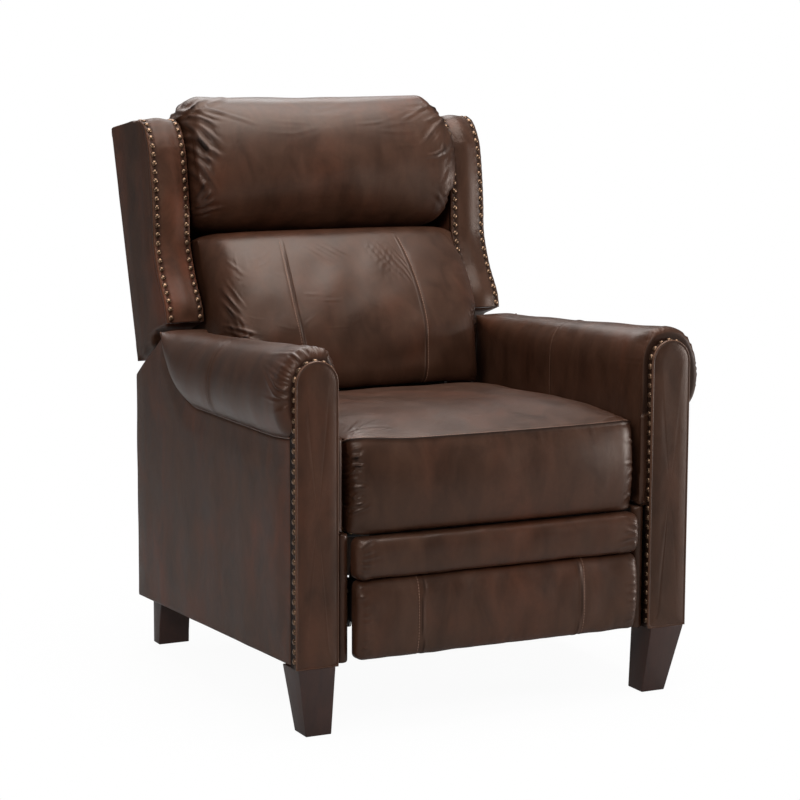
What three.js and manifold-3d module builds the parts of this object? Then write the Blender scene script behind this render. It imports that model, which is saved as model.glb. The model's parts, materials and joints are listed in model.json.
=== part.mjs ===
// A push-back wingback recliner in leather, with rolled arms, wings, a head pillow
// and a folding footrest on a steel linkage. Millimetres, +X to the sitter's left,
// the front towards -Y, +Z up. Front-to-back places are first given from the front
// plane of the arm facings, and the whole is then centred over the floor.

import * as THREE from 'three';
import { mergeVertices } from 'three/addons/utils/BufferGeometryUtils.js';
import Module from 'manifold-3d';

const wasm = await Module();
wasm.setup();

// Clearances
const seatGap = 0.3;
const cutOverrun = 4;

// Arms: outside size, facing board, panels and roll
const armSpan = 735;
const facingWidth = 76;
const facingThick = 28;
const facingRise = 131;
const facingEdgeRound = 3;
const bodyBulge = 11.5;
const armFrontClear = 120;
const armRearClear = 87;
const armDepth = 754;
const armRearRise = 20;
const armCutRise = 104;
const armCutRun = 136;
const outsidePanelThick = 14;
const insidePanelThick = 25;
const armRailDepth = 45;
const armWebThick = 12;
const armShoulder = 491;
const lowerBoxTop = 334;
const seamFrontRise = 10;
const seamFrontRun = 130;
const seamRiseStart = 430;
const rollRise = 152;
const rollDrop = 45;
const rollDropBowShare = 0.16;
const rollEnd = 618;
const rollFront = 12;
const rollNose = 28;
const rollBulge = 27;
const rollCrestInset = 33;
const rollGroove = 3;
const rollSeamAt = 322;
const rollSeamWidth = 8;
const pleats = 12;
const rollInnerSteps = 8;
// The roll's side curves, as shares of its bulge or inner reach and of its rise
const rollOutsideShares = [[1.7, 0.12], [1.26, 1.0]];
const rollInsideShares = [[0.6, 1.0], [1.0, 0.78], [1.0, 0.52]];
const rollBulgePower = 0.7;
// Where the roll's cross sections stand, as shares of its nose and of its front and rear runs
const rollNoseShares = [0, 0.15, 0.45, 1];
const rollFrontRunShare = 0.55;
const rollRearRunShares = [0.3, 0.55, 0.75, 0.88, 0.96, 1];
const pleatDepth = 3;
const pleatRun = 95;
const pleatMiddleShare = 0.35;

// Legs
const frontLegTop = 66;
const frontLegFoot = 46;
const frontLegTaper = 22.6;
const rearLegTop = 46;
const rearLegFoot = 30;
const rearLegWidth = 60;
const rearLegInset = 22.5;
const rearLegFromBack = 22;

// Rails between the arms
const crossRailFrom = 308;
const crossRailDepth = 38;
const crossRailHeight = 62;
const crossRailLow = 112;
const rearRailThick = 22;
const rearRailLow = 96;
const rearRailTop = 250;
const rearRailFromBack = 54;

// Steel plates and pins of the mechanism
const plateThick = 4;
const layerPitch = 5.5;
const pinRadius = 4;
const pinClearance = 0.4;
const openPivotClearance = 1.6;
const bossRadius = 10;
const guideBoss = 8.8;
const pinShort = 0.5;

// Base brackets and the swing links that carry the seat forward
const swingFrontAt = 190;
const swingSpacing = 240;
const swingFootHeight = 150;
const swingLength = 90;
const swingLeanDeg = 40;
const swingBoss = 12;
const bracketFoot = 20;

// Side plate and seat frame
const seatRailLow = 332;
const seatRailHeight = 38;
const seatRailThick = 40;
const seatFrameFront = 22;
const seatFrameDepth = 458;
const seatFrameRoom = 15.6;
const plateCornerInset = 46;
const plateCornerRadius = 14;
const springWire = 1.9;
const springCount = 4;
const springSpacing = 96;
const springHalfWaves = 9;
const springSwing = 15;
const springRise = 0.3;

// Footrest linkage, in the side view; forward reaches are measured towards the front
const driveBack = 130;
const driveHeight = 312;
const driveSpan = 172;
const driveRestDeg = -126;
const driveTurnDeg = 126;
const idlerBack = 44;
const idlerDrop = 23;
const armLinkReach = 183;
const armLinkRise = 59;
const crankLength = 24;
const crankRestDeg = 140.6;
const rockerLength = 45.6;
const rockerRestDeg = 157.8;
const boardTurnDeg = 88;
const midPivotReach = -14;
const midPivotDrop = 32;
const guideBack = 23;
const guideDrop = 30;
const torqueTubeRadius = 9;

// Footrest boards and pads
const boardThick = 12;
const boardFront = 18;
const boardInset = 10;
const padFront = -8;
const padCrown = 6;
const padRound = 12;
const padLow = 125;
const padHigh = 256.5;
const padRoom = 15;
const padSeamAt = 145;
const padSeamDepth = 2.5;
const padSeamWidth = 7;
const midPadLow = 259;
const midPadHigh = 325.5;
const midPadRoom = 13;
const midPadCrown = 5;
const webThick = 4;
const webFlange = 5;
const lugHeight = 30;
const midHeadBack = 6;
const webLow = 182;
const webHigh = 250;

// Seat cushion
const seatRoom = 8;
const seatFront = -8;
const seatBow = 20;
const seatRear = 560;
const seatLow = 330;
const seatSeam = 484;
const seatTopRise = 8;
const seatCrown = 7;
const seatRound = 26;
const seatLipThick = 29.7;
const seatLipLeast = 4;
const seatSeamDepth = 3;
const seatFrontBulge = 6;
const seatTopFrom = 15;
const seatBowPower = 1.5;
const seatRearShare = 0.82;
const seatTopShares = [[0.045, 0.93], [0.17, 0.978], [0.36, 1.0], [0.62, 1.0], [0.86, 0.975], [0.97, 0.915]];

// Back: a leaning plane from the rear foot of the wings, with its own up and back axes
const backLeanDeg = 17;
const backFootY = 801;
const backFootRise = 35;
const backHeight = 457;
const backTail = 236;
const backPanelThick = 6;
const backWideInset = 24.5;
const backNarrowRoom = 18;
const backWideFrom = 4;
const backFrameThick = 30;
const backFrameRoom = 21.1;
const backFrameTop = 446;
const backFrameLow = 150;
const backFrameWiden = 112;
const backRailWidth = 46;
const backWebDepth = 9;
const hingeAt = 660;
const hingeHeight = 300;
const hingeBoss = 14;
const bracketLowUp = -130;
const bracketHighUp = -42;
const bracketInset = 16;

// Wings: outline as shares of their front height and of the wing depth
const wingRoom = 7;
const wingInset = 22.5;
const wingDepth = 199;
const wingFacingThick = 20;
const wingTopStep = 4;
const wingEdgeRound = 4;
const wingFrontShares = [
  [0.0965, 0.914], [0.1774, 0.918], [0.3216, 0.832], [0.4591, 0.806], [0.5911, 0.872],
  [0.7241, 0.95], [0.865, 1.0], [0.956, 0.985],
];
const wingTopFrontShare = 0.9;
const wingTopSlopeShare = 0.82;
const wingUnderShares = [[0.0965, 0.64], [0.0787, 0.49], [0.0488, 0.44], [0.0044, 0.0]];

// Back cushion and head pillow: side outlines as shares of their depth and height
const backCushionRoom = 16;
const backCushionDepth = 290;
const backCushionHeight = 203;
const backCushionRound = 30;
const backSeamAt = 115;
const backSeamDepth = 5;
const backSeamWidth = 10;
const backSeamBowShare = 0.12;
const backSeamWidestShare = 0.2;
const backSeamTurns = 2;
const backFaceShare = 0.6;
const backHubShares = [0.4, 0.1];
const backCrownShare = 0.14;
const backCrownPower = 4;
const backCushionShares = [
  [0.0, -0.16], [0.593, -0.45], [0.86, -0.53], [0.93, -0.51], [0.967, -0.43], [0.985, -0.31],
  [1.0, -0.1], [0.988, 0.07], [0.955, 0.26], [0.9, 0.51], [0.82, 0.76], [0.73, 0.92],
  [0.6, 0.99], [0.3, 1.0], [0.0, 0.985],
];
const pillowRoom = 9;
const pillowDepth = 228;
const pillowLow = 214;
const pillowHeight = 261;
const pillowRound = 42;
const pillowShares = [
  [0.0, 0.1], [0.36, 0.02], [0.66, 0.015], [0.82, 0.06], [0.93, 0.17], [0.99, 0.34],
  [1.0, 0.5], [0.985, 0.66], [0.94, 0.82], [0.85, 0.94], [0.7, 1.0], [0.46, 0.99],
  [0.22, 0.94], [0.0, 0.87],
];

// Steps of round and loose forms
const circleSteps = 16;
const edgeSteps = 2;
const legSteps = 4;
const faceSteps = 6;
const seatTopSteps = 10;
const roundShares = [0, 0.12, 0.45];
const mergeWithin = 1e-5;
const wingSteps = 14;
const backCushionSteps = 17;
const pillowSteps = 18;

const deg = THREE.MathUtils.degToRad;

// Materials

const leather = { color: 0x4b3730, roughness: 0.42, metalness: 0.0 };
const darkLeather = { color: 0x3d2c27, roughness: 0.46, metalness: 0.0 };
const wood = { color: 0x2a1a15, roughness: 0.5, metalness: 0.0 };
const frameWood = { color: 0xb08a5c, roughness: 0.75, metalness: 0.0 };
const steel = { color: 0x2e2f31, roughness: 0.5, metalness: 0.8 };
const zinc = { color: 0x9a9a96, roughness: 0.4, metalness: 0.9 };

const group = new THREE.Group();

function addPiece(name, geometry, look, parent = group) {
  geometry.computeVertexNormals();
  const mesh = new THREE.Mesh(geometry, new THREE.MeshStandardMaterial(look));
  mesh.name = name;
  parent.add(mesh);
  return mesh;
}

// The left one (+X) is drawn, and the right one is its mirror image.
function addPair(name, geometry, look, parent = group) {
  addPiece(`${name}_left`, geometry, look, parent);
  addPiece(`${name}_right`, mirrored(geometry), look, parent);
}

function mirrored(geometry) {
  const copy = geometry.index ? geometry.toNonIndexed() : geometry.clone();
  const p = copy.attributes.position;
  const turned = new Float32Array(p.count * 3);
  for (let i = 0; i < p.count; i += 1) {
    const from = i - (i % 3) + [0, 2, 1][i % 3];
    turned[3 * i] = -p.getX(from);
    turned[3 * i + 1] = p.getY(from);
    turned[3 * i + 2] = p.getZ(from);
  }
  return fromPositions(turned);
}

function fromPositions(positions, index = null) {
  const geometry = new THREE.BufferGeometry();
  geometry.setAttribute('position', new THREE.Float32BufferAttribute(positions, 3));
  if (index) geometry.setIndex(index);
  return geometry;
}

// Solids for joining and cutting

function toSolid(geometry) {
  const bare = geometry.clone();
  bare.deleteAttribute('normal');
  bare.deleteAttribute('uv');
  const merged = mergeVertices(bare, mergeWithin);
  const mesh = new wasm.Mesh({
    numProp: 3,
    vertProperties: new Float32Array(merged.attributes.position.array),
    triVerts: new Uint32Array(merged.index.array),
  });
  mesh.merge();
  return new wasm.Manifold(mesh);
}

function toGeometry(solid) {
  const mesh = solid.getMesh();
  return fromPositions(Array.from(mesh.vertProperties), Array.from(mesh.triVerts));
}

function joined(...geometries) {
  return toGeometry(geometries.map(toSolid).reduce((a, b) => a.add(b)));
}

function cut(geometry, ...tools) {
  return toGeometry(tools.map(toSolid).reduce((a, b) => a.subtract(b), toSolid(geometry)));
}

// Flat outlines

function polygon(points) {
  return new THREE.Shape(points.map(([a, b]) => new THREE.Vector2(a, b)));
}

function rectangle(a0, a1, b0, b1) {
  return polygon([[a0, b0], [a1, b0], [a1, b1], [a0, b1]]);
}

function disc(a, b, radius) {
  return { a, b, radius };
}

function circlePoints({ a, b, radius }) {
  const points = [];
  for (let i = 0; i < circleSteps; i += 1) {
    const turn = (2 * Math.PI * (i + 0.5)) / circleSteps;
    points.push([a + radius * Math.cos(turn), b + radius * Math.sin(turn)]);
  }
  return points;
}

// The tight band round several discs: the outline of a stamped link or plate.
function bandRound(discs) {
  const points = discs.flatMap(circlePoints).sort((p, q) => p[0] - q[0] || p[1] - q[1]);
  const turns = (o, p, q) => (p[0] - o[0]) * (q[1] - o[1]) - (p[1] - o[1]) * (q[0] - o[0]);
  const half = (list) => {
    const chain = [];
    for (const point of list) {
      while (chain.length > 1 && turns(chain.at(-2), chain.at(-1), point) <= 0) chain.pop();
      chain.push(point);
    }
    chain.pop();
    return chain;
  };
  return polygon([...half(points), ...half(points.slice().reverse())]);
}

// Extrusions: across the chair, front to back, and upwards

function extruded(shape, depth, edge = 0) {
  return new THREE.ExtrudeGeometry(shape, {
    depth: depth - 2 * edge,
    steps: 1,
    curveSegments: circleSteps / 2,
    bevelEnabled: edge > 0,
    bevelThickness: edge,
    bevelSize: edge,
    bevelOffset: -edge,
    bevelSegments: edgeSteps,
  }).translate(0, 0, edge);
}

// The shape is drawn as (y, z), and its thickness runs from x0 to x1.
function acrossX(shape, x0, x1, edge = 0) {
  const basis = new THREE.Matrix4().set(0, 0, 1, 0, 1, 0, 0, 0, 0, 1, 0, 0, 0, 0, 0, 1);
  return extruded(shape, x1 - x0, edge).applyMatrix4(basis).translate(x0, 0, 0);
}

// The shape is drawn as (x, z), and its thickness runs from y0 back to y1.
function alongY(shape, y0, y1, edge = 0) {
  return extruded(shape, y1 - y0, edge).rotateX(Math.PI / 2).translate(0, y1, 0);
}

function block(x0, x1, y0, y1, z0, z1) {
  const box = new THREE.BoxGeometry(x1 - x0, y1 - y0, z1 - z0);
  return box.translate((x0 + x1) / 2, (y0 + y1) / 2, (z0 + z1) / 2);
}

// A pin or a hole's cutter along X, centred on a pivot given as [y, z].
function pinAt([y, z], radius, x0, x1) {
  return acrossX(polygon(circlePoints(disc(y, z, radius))), x0, x1);
}

// A closed skin over rings of equal count, with each end drawn to a hub inside its ring.
function loft(rings, hubOf = middle) {
  const count = rings[0].length;
  const points = rings.flat();
  const index = [];
  for (let r = 0; r + 1 < rings.length; r += 1) {
    for (let i = 0; i < count; i += 1) {
      const a = r * count + i;
      const b = r * count + ((i + 1) % count);
      index.push(a, b, b + count, a, b + count, a + count);
    }
  }
  const last = (rings.length - 1) * count;
  for (let i = 0; i < count; i += 1) {
    const j = (i + 1) % count;
    index.push(points.length, j, i);
    index.push(points.length + 1, last + i, last + j);
  }
  points.push(hubOf(rings[0]), hubOf(rings.at(-1)));
  return outward(fromPositions(points.flatMap((v) => [v.x, v.y, v.z]), index));
}

function middle(ring) {
  const sum = ring.reduce((total, v) => total.add(v), new THREE.Vector3());
  return sum.divideScalar(ring.length);
}

function outward(geometry) {
  const p = geometry.attributes.position;
  const index = geometry.index.array;
  const corner = (i) => new THREE.Vector3().fromBufferAttribute(p, index[i]);
  let volume = 0;
  for (let i = 0; i < index.length; i += 3) {
    volume += corner(i).dot(corner(i + 1).cross(corner(i + 2)));
  }
  for (let i = 0; volume < 0 && i < index.length; i += 3) {
    [index[i + 1], index[i + 2]] = [index[i + 2], index[i + 1]];
  }
  return geometry;
}

// Cushions: one side outline, carried across the chair, with round ends and sewn channels

// How full a round end is at a distance from its edge: 0 at the edge, 1 past the rounding.
function fullness(distance, round) {
  const share = Math.min(1, Math.max(0, distance / round));
  return Math.sqrt(1 - (1 - share) ** 2);
}

// How deep a sewn channel is at a distance from its seam.
function channel(distance, width, depth) {
  return depth * Math.max(0, 1 - Math.abs(distance) / width);
}

// The places across a cushion where its outline is set, closer near its ends and seams.
function stations(half, round, seams = [], width = 0) {
  const places = new Set([0, half / 2, half - round]);
  for (const share of roundShares) places.add(half - round * share);
  for (const seam of seams) [seam - width, seam, seam + width].forEach((x) => places.add(x));
  const rightHalf = [...places].sort((a, b) => a - b);
  return [...rightHalf.slice(1).reverse().map((x) => -x), ...rightHalf];
}

// The outline, given as [back, up] pairs, is drawn in about a hub towards the ends.
function cushion(half, round, places, outlineAt, hub) {
  const rings = places.map((x) => {
    const outline = outlineAt(x);
    const reachOf = (axis) => Math.max(...outline.map((point) => Math.abs(point[axis] - hub[axis])));
    const drawn = round * (1 - fullness(half - Math.abs(x), round));
    const [shrinkBack, shrinkUp] = [0, 1].map((axis) => 1 - drawn / reachOf(axis));
    return outline.map(([back, up, bow = 0]) => new THREE.Vector3(
      x + bow,
      hub[0] + (back - hub[0]) * shrinkBack,
      hub[1] + (up - hub[1]) * shrinkUp,
    ));
  });
  return loft(rings, (ring) => new THREE.Vector3(ring[0].x, hub[0], hub[1]));
}

// Arms

const armOuter = armSpan / 2;
const facingInner = armOuter - facingWidth;
const armInner = facingInner - bodyBulge;
const panelInner = armOuter - outsidePanelThick;
const seatFrameHalf = armInner - seatFrameRoom;
const padHalf = armInner - padRoom;
const midPadHalf = armInner - midPadRoom;
const seatHalf = armInner - seatRoom;
const backWideHalf = armOuter - backWideInset;
const backNarrowHalf = armInner - backNarrowRoom;
const backFrameHalf = armInner - backFrameRoom;
const wingInner = armInner - wingRoom;
const wingOuter = armOuter - wingInset;
const backCushionHalf = armInner - backCushionRoom;
const pillowHalf = armInner - pillowRoom;
const bodyFront = facingThick + seatGap;
const facingTop = armShoulder + facingRise;
const rollTop = armShoulder + rollRise;
const armRearTop = armShoulder + armRearRise;
const armCutTop = armShoulder + armCutRise;
const backFootZ = armShoulder + backFootRise;

function armUnderside(y) {
  return armFrontClear + ((armRearClear - armFrontClear) * y) / armDepth;
}

// The seam where the roll meets the outside panel: level, then curling up at the rear.
function seamHeight(y) {
  const front = Math.max(0, 1 - y / seamFrontRun);
  const rear = Math.max(0, (y - seamRiseStart) / (rollEnd - seamRiseStart));
  return armShoulder + seamFrontRise * front ** 2 + (rollTopAt(rollEnd) - armShoulder) * rear ** 2;
}

function rollTopAt(y) {
  const share = Math.max(0, y - bodyFront) / (rollEnd - bodyFront);
  return rollTop - rollDrop * share * (1 + rollDropBowShare * (1 - share));
}

// The slope that lets the wing pass over the rear of the arm.
function rearCut(y, lower = 0) {
  const slope = (armCutTop - armRearTop) / armCutRun;
  return armRearTop + (armDepth - y) * slope - lower;
}

function armSideOutline(from, to, low, shoulder) {
  const top = [];
  const steps = circleSteps;
  for (let i = 0; i <= steps; i += 1) {
    const y = from + ((rollEnd - from) * i) / steps;
    top.push([y, shoulder(y)]);
  }
  return polygon([
    [from, low(from)], [to, low(to)], [to, rearCut(to)], [rollEnd, rearCut(rollEnd)], ...top.reverse(),
  ]);
}

function facingOutline(grow = 0) {
  const radius = facingWidth / 2 + grow;
  const centre = armOuter - facingWidth / 2;
  const spring = facingTop - facingWidth / 2;
  const shape = new THREE.Shape();
  shape.moveTo(centre + radius, armFrontClear - grow);
  shape.lineTo(centre + radius, spring);
  shape.absarc(centre, spring, radius, 0, Math.PI);
  shape.lineTo(centre - radius, armFrontClear - grow);
  return shape;
}

// One cross section of the roll: up its outer bulge, over the crest and down inside.
function rollRing(y) {
  const outer = [];
  const low = seamHeight(y);
  const high = rollTopAt(y);
  const rise = high - low;
  const nose = rollNose * (1 - fullness(y - rollFront, rollNose));
  const bulge = rollBulge * Math.min(1, rise / rollRise) ** rollBulgePower;
  const crest = armOuter - rollCrestInset;
  const curve = (points) => new THREE.CubicBezierCurve(...points.map(([a, b]) => new THREE.Vector2(a, b)));
  const outside = curve([
    [armOuter, low],
    ...rollOutsideShares.map(([out, up]) => [armOuter + bulge * out, low + rise * up]),
    [crest, high],
  ]);
  const inside = curve([
    [crest, high],
    ...rollInsideShares.map(([reach, up]) => [crest - (crest - armInner) * reach, low + rise * up]),
  ]);
  const groove = channel(y - rollSeamAt, rollSeamWidth, rollGroove);
  const behind = y - rollFront;
  const fold = pleatDepth * Math.max(0, 1 - behind / pleatRun) * Math.min(1, behind / rollNose);
  const centre = new THREE.Vector2(crest, (low + high) / 2);
  const count = pleats * 2;
  for (let i = 0; i <= count; i += 1) {
    const point = outside.getPoint(i / count);
    const inward = point.clone().sub(centre).normalize();
    const draw = nose + groove + (i % 2 ? fold : 0) * (i > 0 && i < count ? 1 : 0);
    outer.push(point.addScaledVector(inward, -draw));
  }
  const inner = [];
  for (let i = 1; i <= rollInnerSteps; i += 1) {
    const point = inside.getPoint(i / rollInnerSteps);
    const inward = point.clone().sub(centre).normalize();
    inner.push(point.addScaledVector(inward, -(nose + groove) * (1 - i / rollInnerSteps)));
  }
  inner.push(new THREE.Vector2(armInner, armShoulder + seatGap));
  inner.push(new THREE.Vector2(panelInner, armShoulder + seatGap));
  return [...outer, ...inner].map((v) => new THREE.Vector3(v.x, y, v.y));
}

function armRoll() {
  const places = [];
  for (const share of rollNoseShares) places.push(rollFront + rollNose * share);
  places.push(bodyFront + pleatRun * pleatMiddleShare, bodyFront + pleatRun);
  places.push((bodyFront + rollSeamAt) * rollFrontRunShare);
  places.push(rollSeamAt - rollSeamWidth, rollSeamAt, rollSeamAt + rollSeamWidth);
  for (const share of rollRearRunShares) {
    places.push(rollSeamAt + (rollEnd - rollSeamAt) * share);
  }
  const body = loft(places.map(rollRing));
  const facingRoom = alongY(facingOutline(seatGap), rollFront - cutOverrun, bodyFront);
  const panelTop = acrossX(
    armSideOutline(bodyFront, armDepth, () => armShoulder - armRailDepth, (y) => seamHeight(y) + seatGap),
    panelInner - seatGap, armOuter + cutOverrun,
  );
  return cut(body, facingRoom, panelTop);
}

function armFrame() {
  const frameRear = armDepth - outsidePanelThick;
  const side = polygon([
    [bodyFront, armUnderside(bodyFront)], [frameRear, armUnderside(frameRear)],
    [frameRear, rearCut(frameRear, outsidePanelThick)],
    [rollEnd + seatGap, rearCut(rollEnd, outsidePanelThick)],
    [rollEnd + seatGap, armShoulder], [bodyFront, armShoulder],
  ]);
  const insideFace = armInner + insidePanelThick;
  const upper = acrossX(side, insideFace, panelInner - seatGap);
  const lower = acrossX(polygon([
    [bodyFront, armUnderside(bodyFront)], [frameRear, armUnderside(frameRear)],
    [frameRear, lowerBoxTop], [bodyFront, lowerBoxTop],
  ]), armInner, insideFace + seatGap);
  const webAt = (insideFace + panelInner - armWebThick) / 2;
  const recess = polygon([
    [bodyFront + armRailDepth, armUnderside(bodyFront) + armRailDepth],
    [frameRear - armRailDepth, armUnderside(bodyFront) + armRailDepth],
    [frameRear - armRailDepth, armShoulder - armRailDepth],
    [bodyFront + armRailDepth, armShoulder - armRailDepth],
  ]);
  const outsideRecess = acrossX(recess, webAt + armWebThick, armOuter);
  return cut(joined(upper, lower), outsideRecess);
}

function buildArms() {
  addPair('arm_facing', alongY(facingOutline(), 0, facingThick, facingEdgeRound), leather);
  const outside = armSideOutline(bodyFront, armDepth, armUnderside, seamHeight);
  addPair('outside_arm_panel', acrossX(outside, panelInner, armOuter), leather);
  const insideRear = armDepth - outsidePanelThick;
  const inside = polygon([
    [bodyFront, lowerBoxTop + seatGap], [insideRear, lowerBoxTop + seatGap],
    [insideRear, rearCut(insideRear)], [rollEnd + seatGap, rearCut(rollEnd)],
    [rollEnd + seatGap, armShoulder], [bodyFront, armShoulder],
  ]);
  addPair('inside_arm_panel', acrossX(inside, armInner, armInner + insidePanelThick - seatGap), leather);
  addPair('arm_roll', armRoll(), leather);
  addPair('arm_frame', armFrame(), frameWood);
}

// Legs: square tapers, flush with the arm's corner in front and raked behind

function squareRing([x0, x1, y0, y1], heightAt) {
  return [[x0, y0], [x1, y0], [x1, y1], [x0, y1]].map(([x, y]) => new THREE.Vector3(x, y, heightAt(y)));
}

function buildLegs() {
  const under = (y) => armUnderside(y) - seatGap;
  const frontTop = [armOuter - frontLegTop, armOuter, 0, frontLegTop];
  const footOuter = armOuter - frontLegTaper;
  const frontFoot = [footOuter - frontLegFoot, footOuter, frontLegTaper, frontLegTaper + frontLegFoot];
  const front = loft([squareRing(frontFoot, () => 0), squareRing(frontTop, under)]);
  addPair('front_leg', front, wood);

  const back = armDepth - rearLegFromBack;
  const outer = armOuter - rearLegInset;
  const rings = [];
  for (let i = 0; i <= legSteps; i += 1) {
    const share = i / legSteps;
    const deep = rearLegFoot + (rearLegTop - rearLegFoot) * share ** 2;
    const place = [outer - rearLegWidth, outer, back - deep, back];
    rings.push(squareRing(place, (y) => under(y) * share));
  }
  addPair('rear_leg', loft(rings), wood);
}

// Rails and base brackets that join the two arms and carry the mechanism

const sideOf = armInner - seatGap;

function buildBase() {
  const crossHalf = layer.base[0] - seatGap;
  const crossRailBack = crossRailFrom + crossRailDepth;
  addPiece('cross_rail', block(
    -crossHalf, crossHalf, crossRailFrom, crossRailBack, crossRailLow, crossRailLow + crossRailHeight,
  ), frameWood);
  const rearFrom = armDepth - rearRailFromBack;
  addPiece('rear_rail', block(
    -sideOf, sideOf, rearFrom, rearFrom + rearRailThick, rearRailLow, rearRailTop,
  ), darkLeather);

  const plate = bandRound([
    disc(swingFeet[0][0] - bracketFoot, swingFootHeight, swingBoss),
    disc(swingFeet[1][0] + bracketFoot, swingFootHeight, swingBoss),
    disc(swingFeet[0][0], swingFootHeight + bracketFoot, swingBoss),
    disc(swingFeet[1][0], swingFootHeight + bracketFoot, swingBoss),
  ]);
  const holes = swingFeet.map((foot) => pinAt(
    foot, pinRadius + pinClearance, layer.base[0] - cutOverrun, layer.base[1] + cutOverrun,
  ));
  addPair('base_bracket', cut(acrossX(plate, ...layer.base), ...holes), steel);
}

// Mechanism: plates lie in layers across the chair, counted inwards from the arm

function layerAt(count) {
  const outer = sideOf - count * layerPitch;
  return [outer - plateThick, outer];
}

const layer = {
  base: layerAt(0),
  swing: layerAt(1),
  side: layerAt(2),
  rocker: layerAt(3),
  drive: layerAt(4),
  arm: layerAt(5),
  mid: layerAt(6),
  guide: layerAt(7),
  lug: layerAt(8),
};

const swingFeet = [0, 1].map((i) => [swingFrontAt + i * swingSpacing, swingFootHeight]);
const swingHeads = swingFeet.map(([y, z]) => [
  y + swingLength * Math.sin(deg(swingLeanDeg)), z + swingLength * Math.cos(deg(swingLeanDeg)),
]);

// A pivot that lies at a reach and a rise in front of another, both in the side view.
function ahead([y, z], reach, rise) {
  return [y - reach, z + rise];
}

function polar([y, z], length, degrees) {
  return ahead([y, z], length * Math.cos(deg(degrees)), length * Math.sin(deg(degrees)));
}

const drivePivot = [driveBack, driveHeight];
const idlerPivot = ahead(drivePivot, -idlerBack, -idlerDrop);
const driveEnd = polar(drivePivot, driveSpan, driveRestDeg);
const idlerEnd = polar(idlerPivot, driveSpan, driveRestDeg);
const boardPivot = ahead(driveEnd, armLinkReach, armLinkRise);
const crankEnd = polar(driveEnd, crankLength, crankRestDeg);
const rockerEnd = polar(boardPivot, rockerLength, rockerRestDeg);
const midPivot = ahead(boardPivot, midPivotReach, -midPivotDrop);
const midTail = ahead(midPivot, -guideBack, -guideDrop);
const lugPivot = ahead(boardPivot, -guideBack, -guideDrop);
const backPivot = [hingeAt, hingeHeight];

// A stamped link: a band round its pivots, with holes and with pins into its neighbours.
function link(pivots, place, { holes = [], openHoles = [], pins = [], radius = bossRadius, extra = [] }) {
  const shape = bandRound([...pivots.map(([y, z]) => disc(y, z, radius)), ...extra]);
  let solid = acrossX(shape, ...place);
  const pinSolids = pins.map(([pivot, into]) => {
    const inward = into[1] < place[1];
    const x0 = inward ? into[0] + pinShort : place[0] + seatGap;
    const x1 = inward ? place[1] - seatGap : into[1] - pinShort;
    return pinAt(pivot, pinRadius, x0, x1);
  });
  if (pinSolids.length) solid = joined(solid, ...pinSolids);
  const cutters = [
    ...holes.map((pivot) => [pivot, pinRadius + pinClearance]),
    ...openHoles.map((pivot) => [pivot, pinRadius + openPivotClearance]),
  ].map(([pivot, size]) => pinAt(pivot, size, place[0] - cutOverrun, place[1] + cutOverrun));
  return cutters.length ? cut(solid, ...cutters) : solid;
}

function discAt([y, z], radius) {
  return disc(y, z, radius);
}

function buildSwing() {
  ['front', 'rear'].forEach((end, i) => {
    const swing = link([swingFeet[i], swingHeads[i]], layer.swing, {
      pins: [[swingFeet[i], layer.base], [swingHeads[i], layer.side]],
    });
    addPair(`${end}_swing_link`, swing, zinc);
  });
}

function buildSidePlates() {
  const railTop = seatRailLow + seatRailHeight - plateCornerRadius;
  const frameRear = seatFrameFront + seatFrameDepth;
  const extra = [
    disc(seatFrameFront + plateCornerInset, railTop, plateCornerRadius - seatGap),
    disc(frameRear - plateCornerInset, railTop, plateCornerRadius - seatGap),
    discAt(backPivot, hingeBoss),
    discAt(swingHeads[0], swingBoss),
    discAt(swingHeads[1], swingBoss),
  ];
  const plate = link([drivePivot, idlerPivot], layer.side, {
    extra, holes: [drivePivot, idlerPivot, backPivot, ...swingHeads],
  });
  addPair('side_plate', plate, steel);
}

function buildFootrestLinks() {
  addPair('idler_link', link([idlerPivot, idlerEnd], layer.mid, {
    pins: [[idlerPivot, layer.side], [idlerEnd, layer.arm]],
  }), zinc);
  addPair('drive_link', link([drivePivot, driveEnd, crankEnd], layer.drive, {
    pins: [[drivePivot, layer.side], [driveEnd, layer.arm], [crankEnd, layer.rocker]],
  }), zinc);
  addPair('long_arm_link', link([idlerEnd, driveEnd, boardPivot, midPivot], layer.arm, {
    holes: [idlerEnd, driveEnd], pins: [[boardPivot, layer.drive], [midPivot, layer.mid]],
  }), zinc);
  addPair('tilt_link', link([crankEnd, rockerEnd], layer.rocker, {
    holes: [crankEnd], openHoles: [rockerEnd],
  }), zinc);
  addPair('mid_guide_link', link([midTail, lugPivot], layer.guide, {
    radius: guideBoss, holes: [midTail, lugPivot],
  }), zinc);
  const tube = pinAt(drivePivot, torqueTubeRadius, -layer.drive[0] + seatGap, layer.drive[0] - seatGap);
  addPiece('torque_tube', tube, steel);
}

// Footrest: boards, their steel brackets and the pads

const boardBack = boardFront + boardThick;

function footBracket() {
  const webFrom = boardBack + seatGap;
  const web = block(layer.lug[0], layer.drive[1], webFrom, webFrom + webThick, webLow, webHigh);
  const onWeb = (z) => disc(webFrom + webThick + webFlange, z, webFlange);
  const plate = link([boardPivot, rockerEnd], layer.drive, {
    extra: [onWeb(webLow + webFlange), onWeb(webHigh - webFlange)],
    holes: [boardPivot], pins: [[rockerEnd, layer.rocker]],
  });
  const lug = link([lugPivot], layer.lug, {
    extra: [onWeb(webLow + webFlange), onWeb(webLow + lugHeight)],
    pins: [[lugPivot, layer.guide]],
  });
  const flange = (place) => block(
    ...place, webFrom, webFrom + webThick + webFlange, webLow, webLow + lugHeight,
  );
  return joined(web, plate, lug, flange(layer.drive), flange(layer.lug));
}

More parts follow.
